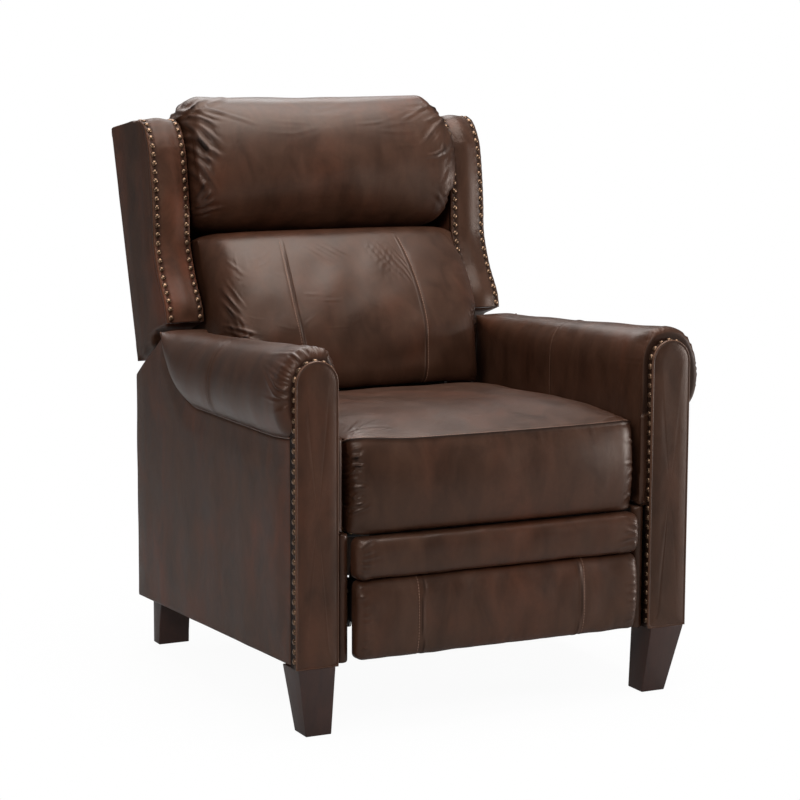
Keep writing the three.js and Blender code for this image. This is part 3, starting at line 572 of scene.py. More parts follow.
    def swollen(self, held: np.ndarray, ends: tuple[int, float], cap: float) -> "Skin":
        """Blows the skin up as cloth, so its panels crown between what holds them.

        Args:
            held: How firmly each point is held, from 0 to 1.
            ends: How many rings at each end are held, and how firmly.
            cap: The most that a point may move, in millimetres.

        Returns: The swollen skin.
        """
        for part in (slice(None, ends[0]), slice(-ends[0], None)):
            held[part] = np.maximum(held[part], ends[1])
        obj = self.mesh_object("swelling")
        group = obj.vertex_groups.new(name="held")
        firm = np.round(np.concatenate([held.ravel(), [1.0, 1.0]]), 2)
        for weight in np.unique(firm):
            if weight > 0:
                members = np.nonzero(np.isclose(firm, weight))[0]
                group.add(members.tolist(), float(weight), "REPLACE")
        cloth = obj.modifiers.new("Swell", "CLOTH")
        for name, value in CLOTH.items():
            setattr(cloth.settings, name, value)
        cloth.settings.effector_weights.gravity = 0.0
        cloth.collision_settings.use_collision = False
        cloth.point_cache.frame_start = 1
        cloth.point_cache.frame_end = CLOTH_FRAMES
        scene = bpy.context.scene
        for number in range(1, CLOTH_FRAMES + 1):
            scene.frame_set(number)
        settled = obj.evaluated_get(bpy.context.evaluated_depsgraph_get())
        flat = np.empty(len(settled.data.vertices) * 3)
        settled.data.vertices.foreach_get("co", flat)
        flat = flat.reshape(-1, 3)[:-2].reshape(self.rings.shape) * 1000.0
        flat[..., 1] -= FRONT_PLANE
        scene.frame_set(1)
        data = obj.data
        bpy.data.objects.remove(obj)
        bpy.data.meshes.remove(data)
        moved = flat - self.rings
        for _ in range(8):
            moved[1:-1] = (moved[:-2] + 2 * moved[1:-1] + moved[2:]) / 4
        far = np.linalg.norm(moved, axis=2, keepdims=True)
        LOG.info("cloth moved %.1f mm at most", far.max())
        return replace(self, rings=self.rings
                       + moved * (cap * np.tanh(far / cap) / np.maximum(far, 1e-9)))


def end_places(half: float, round_off: float, middle: Sequence[float],
               steps: int) -> np.ndarray:
    """The places across a cushion where its rings stand, with round ends.

    Args:
        half: Half its width.
        round_off: The rounding at its ends.
        middle: The places of the right half between the middle and the rounding, from 0 up.
        steps: How many rings the rounding has.

    Returns:
        All the places, from one end to the other.
    """
    turn = np.linspace(math.pi / 2, 0.02, steps)
    right = np.concatenate([np.asarray(middle, dtype=float), half - round_off * (1 - np.cos(turn))])
    return np.concatenate([-right[:0:-1], right])


def laid_flat(place: float, outline: np.ndarray) -> np.ndarray:
    """A ring's part of the sheet: its place across, and the way along its outline."""
    return np.column_stack([np.full(len(outline), place), way_along(outline)])


def cushion(half: float, round_off: float, places: np.ndarray, outline: np.ndarray,
            hub: Sequence[float]) -> Skin:
    """Carries a side outline across the chair, drawn in towards a hub at its round ends.

    Args:
        half: Half the width.
        round_off: The rounding at the ends.
        places: Where the rings stand.
        outline: The outline, in (back, up) rows.
        hub: The place in the outline that the ends draw in to.

    Returns:
        The cushion's skin. Its sheet is (across, way round).
    """
    centre = np.asarray(hub)
    reach = np.abs(outline - centre).max(0)
    rings = []
    for x in places:
        drawn = round_off * (1 - fullness(half - abs(x), round_off))
        rings.append(np.insert(centre + (outline - centre) * (1 - drawn / reach), 0, x, axis=1))
    return Skin(np.stack(rings), np.stack([laid_flat(x, outline) for x in places]))


def lofted(sections: Iterable[tuple[float, np.ndarray]], axis: int, kept: int = 1) -> Skin:
    """Joins flat sections into a skin.

    Args:
        sections: Each section's place along the axis, and its outline in the other two.
        axis: The axis that the sections follow.
        kept: The outline's column that the sheet has beside the place.

    Returns:
        The skin.
    """
    rings, sheet = [], []
    for place, outline in sections:
        rings.append(np.insert(outline, axis, place, axis=1))
        sheet.append(np.insert(outline[:, kept:kept + 1], axis // 2, place, axis=1))
    return Skin(np.stack(rings), np.stack(sheet))


# Finishes


class Nodes:
    """A short way to build a node tree."""

    def __init__(self, tree: bpy.types.NodeTree) -> None:
        """Starts on an emptied tree."""
        tree.nodes.clear()
        self.tree = tree

    def add(self, kind: str, **settings: object) -> bpy.types.Node:
        """Adds a node and sets its properties."""
        node = self.tree.nodes.new(kind)
        for name, value in settings.items():
            setattr(node, name, value)
        return node

    def link(self, out: Socket, into: Socket) -> None:
        """Joins two sockets."""
        self.tree.links.new(out, into)

    def joined(self, *links: tuple[bpy.types.Node, str | int, bpy.types.Node, str | int]) -> None:
        """Joins sockets, each pair given as a node and its output, then a node and its input."""
        for start, out, end, into in links:
            self.link(start.outputs[out], end.inputs[into])

    def settle(self, node: bpy.types.Node, values: dict[str | int, object]) -> bpy.types.Node:
        """Links or sets a node's inputs.

        Args:
            node: The node.
            values: What each named input is given, a socket or a plain value.

        Returns:
            The node.
        """
        for name, value in values.items():
            if isinstance(value, Socket):
                self.link(value, node.inputs[name])
            else:
                node.inputs[name].default_value = value
        return node

    def noise(self, vector: Socket, scale: float, detail: float = 4.0, rough: float = 0.55,
              warp: float = 0.0) -> Socket:
        """Adds noise.

        Args:
            vector: Where it is read.
            scale: How many swells in a metre.
            detail: How many finer layers.
            rough: How strong the finer layers are.
            warp: How far the noise bends itself.

        Returns:
            Its value.
        """
        return self.settle(self.add("ShaderNodeTexNoise"), {
            "Vector": vector, "Scale": scale, "Detail": detail, "Roughness": rough,
            "Distortion": warp}).outputs["Fac"]

    def ranged(self, value: Socket, a: float, b: float, low: float, high: float) -> Socket:
        """Carries a value from one range to another, kept within it."""
        return self.settle(self.add("ShaderNodeMapRange"), {
            "Value": value, "From Min": a, "From Max": b, "To Min": low,
            "To Max": high}).outputs["Result"]

    def sum(self, a: Socket, b: Socket | float, how: str = "ADD") -> Socket:
        """Joins two values by a sum."""
        return self.settle(self.add("ShaderNodeMath", operation=how), {0: a, 1: b}).outputs[0]

    def mixed(self, share: Socket, a: Socket | Sequence[float],
              b: Socket | Sequence[float]) -> Socket:
        """Mixes two colours, by the share of the second."""
        node = self.add("ShaderNodeMix", data_type="RGBA")
        return self.settle(node, {0: share, 6: a, 7: b}).outputs[2]


def srgb(*levels: int) -> tuple[float, ...]:
    """Turns a colour as a screen shows it, 0 to 255, into Blender's own light values."""
    shares = [level / 255 for level in levels]
    return (*(share / 12.92 if share <= 0.04045 else ((share + 0.055) / 1.055) ** 2.4
              for share in shares), 1.0)


class Surface(Nodes):
    """A new material's tree, with its shader and the places that patterns are read at."""

    def __init__(self, name: str) -> None:
        """Makes the material."""
        self.material = bpy.data.materials.new(name)
        self.material.use_nodes = True
        super().__init__(self.material.node_tree)
        out = self.add("ShaderNodeOutputMaterial")
        self.shader = self.add("ShaderNodeBsdfPrincipled")
        self.link(self.shader.outputs[0], out.inputs["Surface"])
        self.place = self.add("ShaderNodeTexCoord").outputs["Object"]

    def stretched(self, scale: Sequence[float]) -> Socket:
        """The places, with the pattern drawn out along an axis whose scale is below 1."""
        return self.settle(self.add("ShaderNodeMapping"),
                           {"Vector": self.place, "Scale": scale}).outputs["Vector"]

    def tinted(self, base: Socket | Sequence[float], value: Socket, run: Span, most: float,
               colour: Colour) -> Socket:
        """Lays a colour over another where a value grows.

        Args:
            base: The colour below.
            value: The value.
            run: Where the value starts to show and where it shows fully.
            most: How much of the new colour shows then.
            colour: The new colour.

        Returns:
            The tinted colour.
        """
        return self.mixed(self.ranged(value, *run, 0.0, most), base, srgb(*colour))

    def relief(self, height: Socket, strength: float, distance: float,
               under: Socket | None = None) -> Socket:
        """Adds a bump.

        Args:
            height: The heights.
            strength: How strongly it shows.
            distance: How far a height of 1 stands out, in metres.
            under: The relief that it lies on.

        Returns:
            The relief's directions.
        """
        values = {"Height": height, "Strength": strength, "Distance": distance}
        if under is not None:
            values["Normal"] = under
        return self.settle(self.add("ShaderNodeBump"), values).outputs["Normal"]

    def finished(self, values: dict[str, object]) -> bpy.types.Material:
        """Gives the shader its values, and the material back."""
        self.settle(self.shader, values)
        return self.material


@dataclass(frozen=True)
class LeatherFinish:
    """Antiqued, semi-gloss leather: mottled brown with rubbed red patches and a fine grain."""

    name: str = "antiqued_leather"
    dark: Colour = (49, 29, 19)
    middle: Colour = (72, 46, 33)
    red: Colour = (92, 47, 29)
    # pale and worn: where the fold attribute runs from -1.5 to -6 the colour pales, a painted
    # highlight on the corded edges, welts and wing strip edges, and rubbed wear on high crests.
    pale: Colour = (118, 84, 66)
    shine: float = 0.37
    gloss: float = 0.4
    reds: float = 0.42
    streak: tuple[float, float, float] = (1.0, 1.0, 0.42)
    # deep and pressed: where the fold attribute runs from 0.3 to 2.6 the colour darkens towards
    # deep, a painted shade in creases, seams, grooves and round nails; the same range also roughens
    # and dulls the leather.
    deep: Colour = (15, 8, 6)
    pressed: Span = (0.3, 2.6)
    worn: Span = (-1.5, -6.0)
    pebbles: float = 620.0

    def build(self) -> bpy.types.Material:
        """Makes the material."""
        n = Surface(self.name)
        drawn = n.stretched(self.streak)
        patches = n.noise(drawn, 8.0, 3.0, 0.5, 0.5)
        streaks = n.noise(drawn, 24.0, 4.0, 0.55, 0.5)
        specks = n.noise(n.place, 150.0, 3.0, 0.6)
        fold = n.add("ShaderNodeAttribute", attribute_name="fold").outputs["Fac"]
        reds = n.sum(n.ranged(patches, 0.45, 0.7, 0.0, 1.0),
                     n.ranged(streaks, 0.35, 0.65, 0.3, 1.0), "MULTIPLY")
        base = n.tinted(srgb(*self.dark), streaks, (0.3, 0.7), 1.0, self.middle)
        base = n.mixed(n.sum(reds, self.reds, "MULTIPLY"), base, srgb(*self.red))
        base = n.tinted(base, specks, (0.35, 0.75), 0.2, self.dark)
        # Paler on the folds' crests: a painted highlight on corded edges, welts and strip edges,
        # and rubbed wear on high crests.
        base = n.tinted(base, fold, self.worn, 0.7, self.pale)
        cells = n.settle(n.add("ShaderNodeTexVoronoi", feature="DISTANCE_TO_EDGE"),
                         {"Vector": n.place, "Scale": self.pebbles})
        grain = n.relief(n.ranged(cells.outputs["Distance"], 0.0, 0.12, 0.0, 1.0), 0.16, 0.0003)
        return n.finished({
            # Painted shade: the colour darkens towards deep in the folds.
            "Base Color": n.tinted(base, fold, self.pressed, 0.9, self.deep),
            "Roughness": n.sum(n.ranged(streaks, 0.3, 0.7, self.shine - 0.03, self.shine + 0.05),
                               n.ranged(fold, *self.pressed, 0.0, 0.35)),
            "Specular IOR Level": n.ranged(fold, *self.pressed, self.gloss, 0.08),
            "Specular Tint": (1.0, 0.8, 0.68, 1.0),
            "Coat Weight": 0.05,
            "Coat Roughness": 0.24,
            "Normal": n.relief(n.noise(n.place, 16.0, 3.0, 0.45, 0.4), 0.3, 0.0034, grain),
        })


@dataclass(frozen=True)
class WoodFinish:
    """Wood with its grain along one axis."""

    name: str
    dark: Colour
    light: Colour
    rough: float
    coat: float
    along: tuple[float, float, float] = (1.0, 1.0, 0.12)

    def build(self) -> bpy.types.Material:
        """Makes the material."""
        n = Surface(self.name)
        grain = n.stretched(self.along)
        bands = n.noise(grain, 55.0, 6.0, 0.65, 0.5)
        fibres = n.noise(grain, 420.0, 3.0, 0.6)
        base = n.tinted(srgb(*self.dark), bands, (0.3, 0.7), 1.0, self.light)
        return n.finished({
            "Base Color": n.tinted(base, fibres, (0.4, 0.75), 0.35, self.dark),
            "Roughness": n.ranged(bands, 0.3, 0.7, self.rough - 0.06, self.rough + 0.06),
            "Coat Weight": self.coat,
            "Coat Roughness": 0.25,
            "Normal": n.relief(fibres, 0.2, 0.0004),
        })


@dataclass(frozen=True)
class MetalFinish:
    """Rolled, plated or cast metal with a worn surface."""

    name: str
    dark: Colour
    light: Colour
    metallic: float
    rough: float
    scale: float = 60.0

    def build(self) -> bpy.types.Material:
        """Makes the material."""
        n = Surface(self.name)
        clouds = n.noise(n.place, self.scale, 5.0, 0.6, 0.3)
        return n.finished({
            "Base Color": n.tinted(srgb(*self.dark), clouds, (0.3, 0.7), 1.0, self.light),
            "Roughness": n.ranged(clouds, 0.3, 0.7, self.rough - 0.07, self.rough + 0.09),
            "Metallic": self.metallic,
            "Normal": n.relief(n.noise(n.place, 900.0, 2.0, 0.5), 0.12, 0.0002),
        })


@dataclass(frozen=True)
class ThreadFinish:
    """Twisted polyester thread."""

    name: str = "thread"
    colour: Colour = (158, 118, 96)
    worn: Colour = (112, 78, 62)

    def build(self) -> bpy.types.Material:
        """Makes the material."""
        n = Surface(self.name)
        wear = n.noise(n.place, 90.0, 3.0)
        return n.finished({
            "Base Color": n.tinted(srgb(*self.colour), wear, (0.3, 0.7), 0.8, self.worn),
            "Roughness": 0.6,
        })


@dataclass(frozen=True)
class ClothFinish:
    """Thin black woven cloth, as lines the inside of a chair."""

    name: str = "black_cambric"
    colour: Colour = (24, 22, 22)
    worn: Colour = (38, 35, 34)
    threads: float = 900.0

    def build(self) -> bpy.types.Material:
        """Makes the material."""
        n = Surface(self.name)
        wear = n.noise(n.place, 30.0, 4.0)
        return n.finished({
            "Base Color": n.tinted(srgb(*self.colour), wear, (0.3, 0.7), 0.7, self.worn),
            "Roughness": 0.9,
            "Sheen Weight": 0.15,
            "Normal": n.relief(n.noise(n.place, self.threads, 2.0), 0.3, 0.0003),
        })


@dataclass
class Finishes:
    """Every material of the chair, made once."""

    leather: bpy.types.Material = field(init=False)
    side_leather: bpy.types.Material = field(init=False)
    border: bpy.types.Material = field(init=False)
    leg_wood: bpy.types.Material = field(init=False)
    frame_wood: bpy.types.Material = field(init=False)
    steel: bpy.types.Material = field(init=False)
    zinc: bpy.types.Material = field(init=False)
    brass: bpy.types.Material = field(init=False)
    thread: bpy.types.Material = field(init=False)
    cambric: bpy.types.Material = field(init=False)

    def __post_init__(self) -> None:
        """Builds them."""
        mottled = LeatherFinish("mottled_leather", (52, 32, 22), (80, 54, 41), (106, 54, 34),
                                shine=0.45, gloss=0.2, reds=0.64, streak=(1.0, 1.0, 0.6))
        border = LeatherFinish("border_leather", (34, 21, 16), (54, 36, 29), (64, 32, 21),
                               (90, 66, 54), 0.38)
        pine = WoodFinish("frame_wood", (150, 116, 78), (186, 152, 108), 0.72, 0.0,
                          (0.15, 1.0, 1.0))
        zinc = MetalFinish("zinc_steel", (138, 139, 137), (176, 177, 174), 0.9, 0.36)
        brass = MetalFinish("antique_brass", (68, 51, 39), (146, 116, 92), 0.9, 0.29, 160.0)
        self.cambric = ClothFinish().build()
        self.leather = LeatherFinish().build()
        self.side_leather = mottled.build()
        self.border = border.build()
        self.leg_wood = WoodFinish("espresso_wood", (44, 22, 15), (64, 36, 26), 0.45, 0.06).build()
        self.frame_wood = pine.build()
        self.steel = MetalFinish("black_steel", (22, 22, 23), (38, 38, 40), 0.5, 0.5).build()
        self.zinc = zinc.build()
        self.brass = brass.build()
        self.thread = ThreadFinish().build()


# Repeats: nails and stitches


@dataclass
class Repeat:
    """A Geometry Nodes tree that sets one small form at even steps along lines."""

    name: str
    finish: bpy.types.Material
    size: tuple[float, float, float]
    pitch: float
    jitter: float
    tree: bpy.types.NodeTree = field(init=False)

    def __post_init__(self) -> None:
        """Builds the tree."""
        self.tree = bpy.data.node_groups.new(self.name, "GeometryNodeTree")
        for name, way, kind in (("Lines", "INPUT", "Geometry"), ("Pitch", "INPUT", "Float"),
                                ("Size", "INPUT", "Vector"), ("Jitter", "INPUT", "Float"),
                                ("Seed", "INPUT", "Int"), ("Repeats", "OUTPUT", "Geometry")):
            self.tree.interface.new_socket(name, in_out=way, socket_type=f"NodeSocket{kind}")
        n = Nodes(self.tree)
        given, result = n.add("NodeGroupInput"), n.add("NodeGroupOutput")
        curve = n.add("GeometryNodeMeshToCurve")
        stepped = n.add("GeometryNodeResampleCurve", mode="LENGTH")
        form = n.settle(n.add("GeometryNodeMeshIcoSphere"), {"Radius": 1.0, "Subdivisions": 2})
        smooth = n.add("GeometryNodeSetShadeSmooth")
        facing = n.settle(n.add("GeometryNodeInputNamedAttribute", data_type="FLOAT_VECTOR"),
                          {"Name": "facing"})
        tangent = n.add("GeometryNodeInputTangent")
        lengthways = n.add("FunctionNodeAlignRotationToVector", axis="X")
        upright = n.add("FunctionNodeAlignRotationToVector", axis="Z", pivot_axis="X")
        jitter = given.outputs["Jitter"]
        least = n.settle(n.add("ShaderNodeMath", operation="SUBTRACT"), {0: 1.0, 1: jitter})
        most = n.settle(n.add("ShaderNodeMath", operation="ADD"), {0: 1.0, 1: jitter})
        chance = n.add("FunctionNodeRandomValue", data_type="FLOAT")
        scaled = n.add("ShaderNodeVectorMath", operation="SCALE")
        place = n.add("GeometryNodeInstanceOnPoints")
        real = n.add("GeometryNodeRealizeInstances")
        coat = n.settle(n.add("GeometryNodeSetMaterial"), {"Material": self.finish})
        n.joined((given, "Lines", curve, "Mesh"), (curve, "Curve", stepped, "Curve"),
                 (given, "Pitch", stepped, "Length"), (form, "Mesh", smooth, "Geometry"),
                 (tangent, 0, lengthways, "Vector"), (lengthways, 0, upright, "Rotation"),
                 (facing, "Attribute", upright, "Vector"), (least, 0, chance, 2),
                 (most, 0, chance, 3), (given, "Seed", chance, "Seed"), (given, "Size", scaled, 0),
                 (chance, 1, scaled, "Scale"), (stepped, "Curve", place, "Points"),
                 (smooth, "Geometry", place, "Instance"), (upright, 0, place, "Rotation"),
                 (scaled, 0, place, "Scale"), (place, "Instances", real, "Geometry"),
                 (real, "Geometry", coat, "Geometry"), (coat, "Geometry", result, "Repeats"))

    def along(self, name: str, lines: Sequence[Line], body: str, slot: str) -> None:
        """Sets the form along lines, turns the result into a plain mesh and sets it on its body.

        Args:
            name: The new piece's name.
            lines: Pairs of points and outward directions, in the frame's metres.
            body: The body that the piece rides on.
            slot: The record's material slot; not used.
        """
        points, edges, faces = [], [], []
        for path, outward in lines:
            start = len(points)
            points += path.tolist()
            faces += outward.tolist()
            edges += [(start + i, start + i + 1) for i in range(len(path) - 1)]
        mesh = bpy.data.meshes.new(name)
        mesh.from_pydata(points, edges, [])
        facing = mesh.attributes.new("facing", "FLOAT_VECTOR", "POINT")
        facing.data.foreach_set("vector", np.array(faces, dtype=np.float32).ravel())
        obj = in_scene(name, mesh)
        modifier = obj.modifiers.new(self.name, "NODES")
        modifier.node_group = self.tree
        sockets = {item.name: item.identifier for item in self.tree.interface.items_tree
                   if item.in_out == "INPUT"}
        modifier[sockets["Pitch"]] = self.pitch * 0.001
        modifier[sockets["Size"]] = [s * 0.001 for s in self.size]
        modifier[sockets["Jitter"]] = self.jitter
        modifier[sockets["Seed"]] = SEED
        bpy.context.view_layer.update()
        evaluated = obj.evaluated_get(bpy.context.evaluated_depsgraph_get())
        result = bpy.data.meshes.new_from_object(evaluated)
        obj.modifiers.remove(modifier)
        obj.data = result
        bpy.data.meshes.remove(mesh)
        result.name = name
        set_on(obj, body)


def line_on(path: np.ndarray, outward: np.ndarray, placed: Callable | None = None) -> Line:
    """Turns a line of chair millimetres and its directions into the frame's metres.

    Args:
        path: The line's points.
        outward: The way that the surface faces at each.
        placed: The back's lean, where the line is on the back.

    Returns:
        The points and directions in metres.
    """
    tips = path + outward
    if placed:
        path, tips = placed(path), placed(tips)
    ways = tips - path
    return metres(path), ways / np.maximum(np.linalg.norm(ways, axis=1, keepdims=True), 1e-9)


def skin_line(skin: Skin, across: float, rows: Sequence[int], lift: float = 0.0) -> Line:
    """Follows a seam on a skin, at a fixed place across it.

    Args:
        skin: The skin, whose sheet's first column is the place across.
        across: The place to follow.
        rows: The points of each ring that the line passes.
        lift: How far above the surface, in millimetres.

    Returns:
        Points and outward directions.
    """
    normal = skin.normals()
    points, outward = [], []
    for j in rows:
        order = np.argsort(skin.sheet[:, j, 0])
        column = skin.sheet[order, j, 0]
        at, way = (np.array([np.interp(across, column, given[order, j, k]) for k in range(3)])
                   for given in (skin.rings, normal))
        points.append(at + way * lift)
        outward.append(way)
    return np.array(points), np.array(outward)


def softened(node: str, name: str, finish: bpy.types.Material, body: str, width: float = 1.5,
             segments: int = 3) -> None:
    """Copies a node of the frame with its edges rounded over, and stands for it.

    Args:
        node: The frame's node.
        name: The new piece's name.
        finish: Its material.
        body: The body that it rides on.
        width: The rounding, in millimetres.
        segments: How many faces round an edge.
    """
    work = bmesh.new()
    work.from_mesh(frame["nodes"][node].data)
    bmesh.ops.remove_doubles(work, verts=work.verts, dist=1e-6)
    bmesh.ops.dissolve_limit(work, angle_limit=math.radians(2), verts=work.verts, edges=work.edges)
    sharp = [edge for edge in work.edges
             if len(edge.link_faces) == 2 and edge.calc_face_angle() > math.radians(25)]
    bmesh.ops.bevel(work, geom=sharp, offset=width * 0.001, segments=segments, profile=0.5,
                    affect="EDGES", clamp_overlap=True)
    bmesh.ops.triangulate(work, faces=[f for f in work.faces if len(f.verts) > 4])
    bmesh.ops.recalc_face_normals(work, faces=work.faces)
    mesh = bpy.data.meshes.new(name)
    work.to_mesh(mesh)
    work.free()
    mesh.shade_smooth()
    mesh.set_sharp_from_angle(angle=math.radians(40))
    mesh.materials.append(finish)
    set_on(in_scene(name, mesh), body, (node,))


# Arms


@dataclass
class Arms:
    """Both arms: facing boards, rolled covers, outside panels, nails and seams."""

    finishes: Finishes
    outer: float = 367.5
    facing_width: float = 74.5
    facing_shift: float = 3.0
    facing_thick: float = 28.0
    facing_top: float = 622.0
    body_inner: float = 280.0
    depth: float = 754.0
    clear_front: float = 120.0
    clear_rear: float = 87.0
    shoulder: float = 491.0
    roll_top: float = 643.0
    roll_drop: float = 36.0
    roll_end: float = 618.0
    roll_front: float = 14.0
    roll_nose: float = 27.0
    roll_bulge: float = 27.0
    seam_at: float = 322.0
    cut_low: float = 511.0
    cut_high: float = 595.0
    cut_run: float = 136.0
    panel_front: float = 28.3
    axis_in: float = 38.0
    cover_foot: float = 336.0

    def underside(self, y: Values) -> Values:
        """The lower edge of the arm."""
        return self.clear_front + (self.clear_rear - self.clear_front) * y / self.depth

    def roll_top_at(self, y: Values) -> Values:
        """The crest of the roll."""
        share = np.maximum(0, y - self.panel_front) / (self.roll_end - self.panel_front)
        return self.roll_top - self.roll_drop * share * (1 + 0.16 * (1 - share))

    def seam_at_height(self, y: Values) -> Values:
        """The seam under the roll, level and then curling up at the rear."""
        front = np.maximum(0, 1 - y / 130)
        rear = np.maximum(0, (y - 430) / (self.roll_end - 430))
        climb = self.roll_top_at(self.roll_end) - self.shoulder
        return self.shoulder + 10 * front**2 + climb * rear**2

    def rear_cut(self, y: Values) -> Values:
        """The slope that the wing passes over."""
        return self.cut_low + (self.depth - y) * (self.cut_high - self.cut_low) / self.cut_run

    def arch(self, inset: float) -> list[tuple[float, float]]:
        """The half round of a facing's top, from its outer side to its inner, as (x, z) places."""
        half = self.facing_width / 2
        x, z, reach = self.outer + self.facing_shift - half, self.facing_top - half, half - inset
        return [(x + reach * math.cos(a), z + reach * math.sin(a))
                for a in np.linspace(0, math.pi, 41)]

    def facing_outline(self, inset: float) -> np.ndarray:
        """The arched outline of the facing board, some way inside its edge, as (x, z) rows."""
        arch = self.arch(inset)
        low = self.clear_front + min(inset, 14.0)
        foot = (arch[0][0], low)
        return ringed([foot, *arch, (arch[-1][0], low), foot], 150)

    def facing(self, side: Side) -> Skin:
        """The padded front of an arm, with a corded edge.

        Args:
            side: Which arm.

        Returns:
            Its skin, of steps that are (inside the edge, from the front, its painted tone: shade on
            the nailed rim, a highlight on the corded edge).
        """
        thick = self.facing_thick
        # Each step's last number is painted into the colour: painted shade on the rim beside the
        # nails, and a painted highlight on the corded edge.
        steps = [(26, thick - 0.2, 0), (6, thick - 0.2, 0), (1.5, thick, 2), (0.2, thick - 2, 2.6),
                 (0, thick - 8, 2.6), (0, 14, 2.2), (0, 9, 1.6), (0.2, 6.6, 1.4), (0.3, 5.2, 0.8),
                 (-0.3, 4.4, -3), (-0.9, 3.4, -5), (-1.0, 2.2, -5), (-0.5, 1.0, -5),
                 (0.6, 0.3, -3), (1.7, 0.4, 0), (2.4, 0.9, 0.7), (3.2, 1.0, 0.4), (5.0, 0.5, 0),
                 (8.0, -0.2, 0), (12, -0.9, 0), (18, -1.5, 0)]
        skin = lofted([(y, self.facing_outline(inset)) for inset, y, _ in steps], 1)
        shade_and_highlight = np.array([[tone] for *_, tone in steps], dtype=float)
        skin = Skin(skin.rings, skin.rings[..., ::2], np.tile(shade_and_highlight, (1, skin.rings.shape[1])))
        front = (skin.rings[..., 1] < 1).astype(float)
        rng = np.random.default_rng(SEED + side.value)
        return skin.uneven(110, 0.35, front, rng).mirrored(side)

    def cover_ring(self, y: float, around: int) -> np.ndarray:
        """One cross section of the rolled cover, outside seam to inside foot and back.

        Args:
            y: The place from the front.
            around: How many points.

        Returns:
            (x, z) rows.
        """
        low, high = self.seam_at_height(y), self.roll_top_at(y)
        rise = high - low
        bulge = self.roll_bulge * min(1, rise / (self.roll_top - self.shoulder)) ** 0.7
        outer, inner, crest, foot = self.outer, self.body_inner, self.outer - 33, self.cover_foot
        outside = bezier((outer - 1, low), (outer + bulge * 1.7, low + rise * 0.1),
                         (outer + bulge * 1.26, high), (crest, high))
        inside = bezier((crest, high), (crest - (crest - inner) * 0.7, high),
                        (inner - 1, high - rise * 0.16), (inner - 1, high - rise * 0.5))
        down = [(inner - 0.5, high - rise * 0.75), (inner, 440.0), (inner + 0.5, foot + 6),
                (inner + 4, foot), (inner + 22, foot), (inner + 23, 487.0),
                (outer - 14, self.shoulder + 2), (outer - 13, max(low - 2, self.shoulder + 3))]
        return ringed([*outside, *inside[1:], *down, outside[0]], around)

    def smooth_cover(self, side: Side) -> Skin:
        """The cover without its folds, drawn in at its nose and its rear.

        Args:
            side: Which arm; the left one's roll is fuller at the front.

        Returns:
            The smooth skin. Its sheet is (from the front, way round).
        """
        around, start, front = 260, self.roll_front, self.roll_front + self.roll_nose
        nose = start + self.roll_nose * (1 - np.cos(np.linspace(0.05, math.pi / 2, 16)))
        rear = self.roll_end - 9 * (1 - np.sin(np.linspace(0.2, math.pi / 2, 6)))
        places = np.concatenate([nose, np.linspace(front + 4, self.roll_end - 12, 118), rear])
        rings, sheet = [], []
        for y in places:
            outline = self.cover_ring(float(y), around)
            x, z = outline[:, 0].copy(), outline[:, 1]
            away = outline - np.array([self.outer - self.axis_in, 560.0])
            reach = np.maximum(np.linalg.norm(away, axis=1, keepdims=True), 1e-6)
            upper = eased(z, 430, 520)
            flat = 1 - eased(x, self.outer - 66, self.outer - 20)
            rounding, depth = self.roll_nose - (self.roll_nose - 12) * flat, 23.0
            if side is Side.LEFT:
                rounding, depth = np.minimum(rounding, 13.0), 14.0
                out = eased(x, self.outer - 30, self.outer) * eased(z, 455, 520)
                outline[:, 0] += 5.5 * out * (1 - eased(y, 60, 150))
            drawn = depth * (1 - fullness(y - start, rounding)) if y < front else np.zeros(around)
            rear = 5 * (1 - fullness(self.roll_end - y, 9.0))
            inner = (outline[:, 0] < self.body_inner + 3).astype(float)
            shallow = 9 * (1 - fullness(y - start, 10.0)) + rear
            outline = outline - away / reach * (drawn + rear)[:, None] * upper[:, None]
            outline[:, 0] += shallow * inner * (1 - upper)
            rings.append(np.insert(outline, 1, y, axis=1))
            sheet.append(laid_flat(y, outline))
        return Skin(np.stack(rings), np.stack(sheet))

    def pleats(self, skin: Skin, side: Side, rng: Rng) -> np.ndarray:
        """The pleats that run back from the facing over the roll.

        Args:
            skin: The smooth cover.
            side: Which arm; the left one's pleats are shallow.
            rng: Where their differences come from.

        Returns:
            The heights of the leather.
        """
        x, y, z = (skin.rings[..., k] for k in range(3))
        way = np.degrees(np.arctan2(z - 575.0, x - (self.outer - self.axis_in)))
        behind = y - self.roll_front
        folds = np.zeros_like(way)
        count, first, sweep = 27, -26, 200
        for k in range(count):
            at = first + sweep * k / (count - 1) + rng.normal(0, 3.2)
            lean = rng.normal(0.12, 0.26)
            deep = rng.uniform(0.3, 1.2) * (1.0 if at < 108 else 0.35)
            if side is Side.LEFT:
                deep *= 0.26
            run, width = rng.uniform(18, 60), rng.uniform(1.2, 2.6)
            apart = (way - at - lean * behind + 180) % 360 - 180
            folds -= deep * bump(apart, 0, width) * bump(behind, 0, run)
            folds += 0.9 * deep * bump(apart, 2.2 * width, width) * bump(behind, 0, run * 1.1)
        return folds * 3.0 * eased(z, 500, 560)

